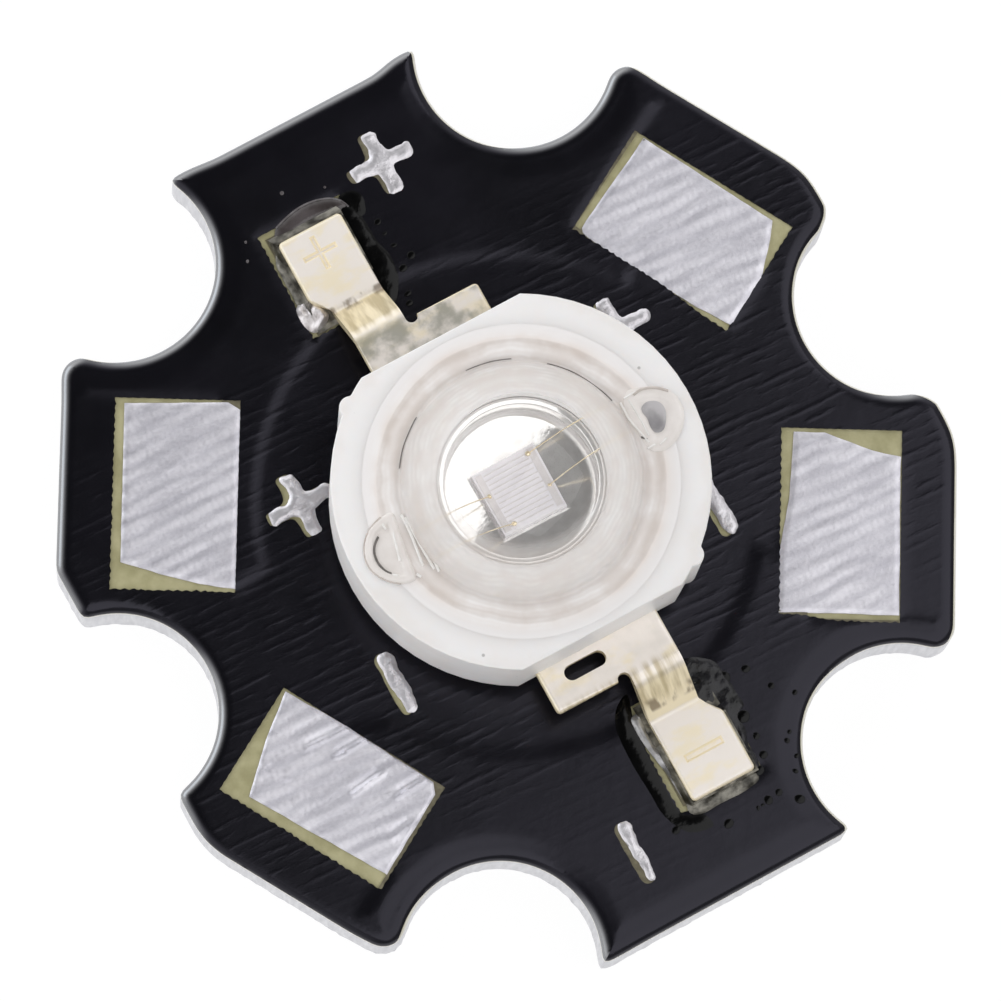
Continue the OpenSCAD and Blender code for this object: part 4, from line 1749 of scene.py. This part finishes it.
@dataclass
class Lamp:
    """The emitter: housing, leads, cup, chip, wires, clear lens."""

    nodes: Mapping[str, Object]
    finishes: Finishes
    dome_foot: float = 2.55
    dome_top: float = 5.3
    housing_top: float = 3.4
    flange: float = 3.36
    cup_rim: float = 1.25
    cup_floor: float = 1.12
    cup_low: float = 2.15
    cup_high: float = 3.0
    wall: float = 0.12
    wire: float = 0.009
    wire_bow: float = 0.62
    chip_top: float = 2.325
    post_top: float = 2.64
    post_radius: float = 2.575
    ball: float = 0.026
    foot_top: float = 0.35
    mark_depth: float = 0.052
    mark_slope: float = 0.047
    body_round: float = 0.14
    lead_round: float = 0.095
    slug_low: float = 0.06
    slug_step: float = 0.85
    slug_radius: float = 2.95
    neck_top: float = 2.6
    cup_bend: float = 0.16
    collar_low: float = 2.4
    collar_radius: float = 2.88
    flange_low: float = 3.09
    fill_low: float = 2.58
    fill_radius: float = 2.91
    core_low: float = 2.1
    core_radius: float = 1.2
    soft_rim: float = 0.012
    flange_skin: float = 0.02
    flange_waves: float = 0.005

    def housing(self) -> None:
        """Builds the milky body."""
        node, finish = self.nodes["housing"], self.finishes.plastic
        rounded_copy(node, "milky_body", finish, Slot.PLASTIC, self.body_round, on_outside, True)

    def groove(self, name: str, middle: Pair, long: float, wide: float, crossed: bool) -> Mesh:
        """Makes the body of a pressed polarity mark with sloping walls.

        Args:
            name: Name of the mesh.
            middle: Its middle in the lamp's axes.
            long: Half the length of its bars.
            wide: Half their width.
            crossed: Makes a plus mark instead of a minus mark.

        Returns:
            The mesh, which reaches above the lead's foot.
        """
        rings = []
        for step in (-1, 1):
            a, b = long + step * self.mark_slope, wide + step * self.mark_slope
            bar = [(b, b), (b, a), (-b, a), (-b, b)] if crossed else []
            bar += [(-a, b), (-a, -b)]
            bar += [(-b, -b), (-b, -a), (b, -a), (b, -b)] if crossed else []
            bar += [(a, -b), (a, b)]
            flat = from_lamp(np.array(bar) + np.array(middle))
            rings.append(raised(flat, Z_TOP + self.foot_top + step * self.mark_depth))
        n = len(rings[0])
        caps = [tuple(range(n)), tuple(range(n, 2 * n))]
        return Solid(np.concatenate(rings), loft(rings) + caps).mesh(name)

    def leads(self) -> None:
        """Builds the two bent sheet leads with the marks pressed into their feet."""
        plus = self.groove("pressed_plus", (-1.05, 6.81), 0.40, 0.065, True)
        minus = self.groove("pressed_minus", (0.99, -6.53), 0.46, 0.09, False)
        for node, name, material, tool in (
            ("anode_lead", "bent_lead_plus", self.finishes.anode, plus),
            ("cathode_lead", "bent_lead_minus", self.finishes.cathode, minus),
        ):
            width, pick = self.lead_round, between_wide_faces
            rounded_copy(self.nodes[node], name, material, Slot.LEAD, width, pick, False, tool)

    def slug(self) -> None:
        """Builds the slug with its bright cup."""
        outer = self.cup_rim + self.wall
        neck, wide, bend = outer + 0.03, self.slug_radius, self.cup_bend
        profile = [(0.0, self.slug_low), (wide, self.slug_low), (wide, self.slug_step)]
        profile += [(neck, self.slug_step), (neck, self.neck_top), (outer, self.neck_top)]
        profile += [(outer, self.cup_high - 0.04), *arc((outer - 0.04, self.cup_high - 0.04), 0.04, 0, 90, 4)]
        profile += arc((self.cup_rim + 0.03, self.cup_high - 0.03), 0.03, 90, 164, 4)
        profile += arc((self.cup_floor - bend + 0.03, self.cup_low + bend), bend, -14, -90, 8)
        profile += [(0.5, self.cup_low), (0.0, self.cup_low)]
        mesh = lathe(profile).moved(LAMP).mesh("silvered_slug")
        add_piece("silvered_slug", mesh, self.finishes.silvered, Slot.SILVERED, ["heat_slug"], 50.0)

    def collar(self) -> None:
        """Builds the white slope of the body between the cup's rim and the edge of the cavity."""
        near, far, low = self.cup_rim + self.wall + 0.012, self.collar_radius, self.collar_low
        slope = [(far, 2.63), (1.9, 2.82), (near, self.cup_high - 0.035)]
        profile = [(near, low), (far, low), *slope, (near, low)]
        mesh = lathe(profile).moved(LAMP).mesh("milky_slope")
        add_piece("milky_slope", mesh, self.finishes.plastic, Slot.PLASTIC)

    def lens(self) -> None:
        """Builds the clear lens together with the clear fill under it."""
        rise = self.dome_top - self.housing_top
        ball = (self.dome_foot**2 + rise**2) / (2 * rise)
        middle = self.dome_top - ball
        low = math.degrees(math.asin((self.housing_top + 0.03 - middle) / ball))
        dome = [(0.0, self.dome_top), *arc((0.0, middle), ball, 88, low, 44)]
        radii = np.linspace(self.dome_foot + 0.04, self.flange - 0.015, 30)
        rings = [(r, self.housing_top - 0.005) for r in radii]
        rim = [(self.flange, self.housing_top - self.soft_rim), (self.flange, self.flange_low)]
        under = [(self.fill_radius, self.flange_low), (self.fill_radius, self.fill_low)]
        under += [(self.core_radius, self.fill_low), (self.core_radius, self.core_low), (0.0, self.core_low)]
        solid = lathe(dome + rings + rim + under, 180)
        radius = np.hypot(solid.corners[:, 0], solid.corners[:, 1])
        flange = (solid.corners[:, 2] > self.housing_top - self.flange_skin) & (radius > self.dome_foot)
        angle = np.arctan2(solid.corners[flange, 1], solid.corners[flange, 0])
        around = np.c_[np.cos(angle) * 2.2 + radius[flange] * 9.0, np.sin(angle) * 2.2]
        solid.corners[flange, 2] += self.flange_waves * ripple(around, 1.0, 5.0)
        mesh = solid.moved(LAMP).mesh("clear_lens_and_fill")
        add_piece(mesh.name, mesh, self.finishes.lens, Slot.LENS, ["lens", "encapsulant"], 50.0)

    def drop(
        self, name: str, outline: Sequence[Pair], rise: float, rim: float,
        material: Material, replaces: Sequence[str] = (), lift: float = 0.012,
    ) -> None:
        """Builds a cured drop with a raised rim on the lens flange.

        Args:
            name: Name of the piece.
            outline: Points that its curved outline passes.
            rise: Height of its rim.
            rim: Half the width of its rim.
            material: Its finish.
            replaces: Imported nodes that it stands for.
            lift: Height of its middle above the flange.
        """
        loop = rounded_loop(outline, 0.035)

        def top(points: Points) -> np.ndarray:
            """Height of the top at each point."""
            ridge = np.sqrt(np.clip(1 - ((distance(points, [loop]) - rim) / rim) ** 2, 0, 1))
            return Z_TOP + self.housing_top + lift + rise * ridge

        mesh = Sheet(loop, pitch=0.04).solid(top, level(Z_TOP + self.housing_top - 0.05)).mesh(name)
        add_piece(name, mesh, material, Slot.SILICONE, replaces)

    def threads(
        self, name: str, lines: Sequence[Sequence[Pair]], radius: float, material: Material
    ) -> None:
        """Builds thin raised lines on the lens flange.

        Args:
            name: Name of the piece.
            lines: Points that the lines pass.
            radius: Radius of the lines.
            material: Their finish.
        """
        paths = path_mesh(name, [open_line(line, Z_TOP + self.housing_top + 0.03) for line in lines])
        add_piece(name, Sweep(name, radius, material, True).mesh(paths), material, Slot.SILICONE)

    def arcs(self, spans: Sequence[Triple], height: float) -> list[Points]:
        """Draws uneven arcs about the lamp's axis.

        Args:
            spans: Radius and two angles in the board's axes, for each arc.
            height: Height of the arcs in the lamp.

        Returns:
            The arcs.
        """
        lines = []
        for radius, start, end in spans:
            flat = np.array(arc(LAMP_PLACE[:2], radius, start, end, 24))
            flat += 0.02 * np.c_[ripple(flat, 1.6, radius), ripple(flat, 1.6, radius + 9)]
            lines.append(raised(flat, Z_TOP + height))
        return lines

    def left_vent(self) -> None:
        """Builds the drop in the left filling hole and the ridges beside it, painted white as a painted
        highlight.
        """
        f = self.finishes
        outline = [
            (-2.54, -0.87), (-2.80, -0.96), (-3.03, -1.20), (-3.13, -1.47), (-3.14, -1.74),
            (-3.06, -2.00), (-2.87, -2.20), (-2.60, -2.33), (-2.34, -2.36), (-2.11, -2.31),
            (-2.03, -2.18), (-2.19, -1.78), (-2.36, -1.32),
        ]
        self.drop("cured_drop_left", outline, 0.05, 0.10, f.drop, ["vent_plug_left"])
        self.threads("left_vent_rim", [outline[1:9]], 0.018, f.darker_rim)
        inner = [
            (-2.84, -1.38), (-2.91, -1.55), (-2.92, -1.72), (-2.84, -1.93), (-2.67, -2.11),
            (-2.54, -2.15),
        ]
        # A dark thread of painted shade along the drop's inner fold
        self.threads("left_vent_fold", [inner], 0.024, f.shade_line)
        # Ridges and short dashes, painted white as their highlights
        ridges = [
            [(-2.37, -0.90), (-2.20, -1.21), (-2.06, -1.54), (-1.89, -1.97)],
            [(-2.29, -0.95), (-2.10, -1.28), (-1.89, -1.64), (-1.65, -2.03)],
            [(-2.00, -1.31), (-1.83, -1.57), (-1.67, -1.83), (-1.55, -2.08)],
            [(-2.55, -0.95), (-2.51, -1.35), (-2.42, -1.69), (-2.37, -1.88)],
            [(-2.76, -1.10), (-2.68, -1.22)],
            [(-2.52, -2.17), (-2.40, -2.19)],
            [(-2.02, -2.14), (-1.92, -2.20)],
        ]
        self.threads("left_vent_ridges", ridges, 0.032, f.gloss)

    def right_vent(self) -> None:
        """Builds the drop in the right filling hole, with the shade of the hollow under it painted grey on a
        flat drop.
        """
        f = self.finishes
        ring = [
            (2.30, 1.86), (2.53, 1.94), (2.83, 1.99), (3.10, 1.95), (3.33, 1.81), (3.49, 1.54),
            (3.51, 1.24), (3.41, 0.93), (3.22, 0.69), (2.99, 0.60), (2.79, 0.65), (2.58, 0.94),
            (2.38, 1.28), (2.24, 1.57),
        ]
        self.drop("cured_drop_right", ring, 0.025, 0.13, f.drop, ["vent_plug_right"])
        # The hollow's shade, painted grey on a flat drop
        hollow = [
            (2.62, 1.53), (2.72, 1.64), (2.90, 1.67), (3.05, 1.60), (3.13, 1.43), (3.12, 1.15),
            (3.05, 1.03), (2.92, 1.00), (2.82, 1.10), (2.74, 1.29), (2.64, 1.42),
        ]
        self.drop("right_vent_hollow_shade", hollow, 0.006, 0.06, f.vent_shade, (), 0.03)
        upper = [(2.44, 1.78), (2.57, 1.90), (2.77, 1.95), (2.96, 1.95), (3.17, 1.89)]
        self.threads("right_vent_rim", [upper], 0.03, f.darker_rim)
        # Ridges and short bright dashes, painted white as their highlights
        highlight_ridges = [
            [(2.17, 1.61), (2.35, 1.27), (2.55, 1.04), (2.79, 0.78)],
            [(2.34, 1.68), (2.51, 1.41), (2.65, 1.18), (2.78, 0.92)],
            [(2.76, 0.65), (2.92, 0.75)], [(3.02, 0.74), (3.15, 0.89)], [(2.24, 1.70), (2.48, 1.86)],
        ]
        self.threads("right_vent_ridges", highlight_ridges, 0.026, f.gloss)
        # A dark dash of painted shade
        self.threads("right_vent_marks", [[(2.62, 0.89), (2.75, 0.85)]], 0.022, f.shade_line)

    def foot_lines(self) -> None:
        """Builds fine dark lines of painted shadow and painted dark reflection where the dome meets the
        flange.
        """
        creases = [(2.545, 43, 79), (2.60, 96, 118), (2.57, 150, 176)]
        tree = Sweep("creases", 0.012, self.finishes.shade_line, True)
        mesh = tree.mesh(path_mesh("creases", self.arcs(creases, self.housing_top + 0.035)))
        add_piece("lens_foot_painted_shade", mesh, self.finishes.shade_line, None)

    def wires(self) -> None:
        """Builds the four gold wires as fine as they are, with their balls."""
        ends = [(0.36, 0.40, 0.50), (0.42, -0.14, -0.10), (-0.30, -0.40, -0.50), (-0.42, 0.12, 0.10)]
        lines, balls = [], []
        for x, y, far in ends:
            start = np.array([x, y, self.chip_top + 0.02])
            end = np.array([math.copysign(self.post_radius, x), far, self.post_top + 0.01])
            share = np.linspace(0, 1, 25)[:, None]
            bow = np.array([0, 0, self.wire_bow])
            lines.append(start + (end - start) * share + bow * 4 * share * (1 - share))
            balls.append(start)
        flat = [np.c_[from_lamp(line[:, :2]), line[:, 2] + Z_TOP] for line in lines]
        mesh = Sweep("wires", self.wire, self.finishes.gold, False).mesh(path_mesh("wires", flat))
        names = [f"bond_wire_{i}" for i in range(1, 5)]
        add_piece("gold_wires", mesh, self.finishes.gold, Slot.GOLD, names)
        spots = np.array(balls)
        spots = np.c_[from_lamp(spots[:, :2]), spots[:, 2] + Z_TOP]
        mesh = Bubbles("balls", self.ball, 0.7, 3, self.finishes.gold).mesh(path_mesh("balls", [spots]))
        add_piece("gold_balls", mesh, self.finishes.gold, Slot.GOLD)

    def inner(self) -> None:
        """Dresses the chip, its lines and what lies under them."""
        f = self.finishes
        for name, material in (
            ("led_chip", f.chip), ("chip_metal_plus", f.comb), ("chip_metal_minus", f.comb),
            ("die_attach", f.silvered), ("thermal_grease", f.grease),
        ):
            dress(self.nodes[name], material)

    def build(self) -> None:
        """Builds the whole lamp."""
        self.housing()
        self.leads()
        self.slug()
        self.collar()
        self.lens()
        self.left_vent()
        self.right_vent()
        self.foot_lines()
        self.wires()
        self.inner()


# Light and camera


@dataclass(frozen=True)
class Softbox:
    """A rectangular soft light, level or turned to the middle of the board."""

    name: str
    place: Triple
    size: Pair
    glow: float
    colour: Triple = (1.0, 1.0, 1.0)
    level_turn: float | None = None

    def build(self) -> None:
        """Puts the light in place."""
        light = bpy.data.lights.new(self.name, "AREA")
        light.shape = "RECTANGLE"
        light.size, light.size_y = self.size[0] * MM, self.size[1] * MM
        light.energy = self.glow * math.pi * light.size * light.size_y
        light.color = self.colour
        made = scene_object(self.name, light)
        made.location = Vector(self.place) * MM
        if self.level_turn is None:
            made.rotation_euler = (-Vector(self.place)).to_track_quat("-Z", "Y").to_euler()
        else:
            made.rotation_euler = (0, 0, math.radians(self.level_turn))


@dataclass(frozen=True)
class Studio:
    """Pale floor, soft light and the camera of the photo's view."""

    eye: Triple = (-5.215, -23.826, 143.843)
    turn: Triple = (-0.1657, 0.0371, -0.0246)
    lens: float = 242.2
    floor_half: float = 900.0
    floor_share: float = 0.90
    floor_glow: float = 1.04
    window: Triple = (-0.8, 0.6, 0.0)
    sky_low: float = 1.4
    sky_dim: float = 0.35
    sky_high: float = 0.07

    def camera(self) -> None:
        """Puts the camera at the photo's viewpoint."""
        data = bpy.data.cameras.new("camera")
        data.lens, data.sensor_width = self.lens, 36.0
        data.clip_start, data.clip_end = 0.005, 10.0
        made = scene_object("camera", data)
        turn = Vector(self.turn)
        spin = Quaternion(turn.normalized(), turn.length).inverted().to_matrix().to_4x4()
        made.matrix_world = Matrix.Translation(Vector(self.eye) * MM) @ spin
        bpy.context.scene.camera = made

    def floor(self) -> None:
        """Builds the white floor, which keeps the part's shadow."""
        half, low = self.floor_half * MM, -1e-5
        mesh = bpy.data.meshes.new("floor")
        corners = [(-half, -half, low), (half, -half, low), (half, half, low), (-half, half, low)]
        mesh.from_pydata(corners, [], [(0, 1, 2, 3)])
        made = scene_object("floor", mesh)
        p = Paint("pale_floor", Base_Color=rgb(0.9, 0.9, 0.9), Roughness=0.8)
        rays = p.node("ShaderNodeLightPath").outputs
        seen = Val(p, rays["Is Camera Ray"]) + rays["Is Glossy Ray"] + rays["Is Transmission Ray"]
        glow = p.node("ShaderNodeEmission", None, {"Color": rgb(1, 1, 1), "Strength": self.floor_glow})
        p.cover(seen.math("MINIMUM", 1.0) * self.floor_share, glow)
        mesh.materials.append(p.material)

    def sky(self) -> None:
        """Makes the surroundings: pale towards the horizon on the window's side, darker overhead."""
        world = bpy.data.worlds.new("surroundings")
        bpy.context.scene.world = world
        world.use_nodes = True
        g = Graph(world.node_tree)
        way = g.node("ShaderNodeTexCoord").outputs["Generated"]
        up = Val(g, g.node("ShaderNodeSeparateXYZ", None, {0: way}).outputs[2])
        side = g.vector("DOT_PRODUCT", way, self.window)
        low = Val(g, side.outputs["Value"]).ramp(-0.5, 0.4) * (self.sky_low - self.sky_dim) + self.sky_dim
        above = up.ramp(0.45, 0.93)
        strength = low * (1 - above) + above * self.sky_high
        back = g.node("ShaderNodeBackground", None, {"Color": rgb(1, 1, 1), "Strength": strength})
        g.node("ShaderNodeOutputWorld", None, {"Surface": back.outputs[0]})

    def lights(self) -> None:
        """Puts the soft lights in place."""
        for box in (
            Softbox("overhead_right", (134, -87, 260), (320, 500), 1.37, level_turn=-33.0),
            Softbox("left_low", (-160, 70, 48), (160, 90), 1.0, (0.80, 0.90, 1.0)),
        ):
            box.build()

    def build(self) -> None:
        """Builds camera, floor, sky and lights."""
        bpy.context.scene.view_settings.view_transform = "Standard"
        self.camera()
        self.floor()
        self.sky()
        self.lights()


def main() -> None:
    """Loads the frame and builds the studio and the pieces in order."""
    logging.basicConfig(level=logging.INFO, format="%(name)s %(message)s")
    for made in list(bpy.data.objects):
        bpy.data.objects.remove(made)
    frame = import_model()
    Studio().build()
    finishes = Finishes()
    Board(frame["nodes"], finishes).build()
    Joints(frame["nodes"], finishes).build()
    Lamp(frame["nodes"], finishes).build()


if __name__ == "__main__":
    main()
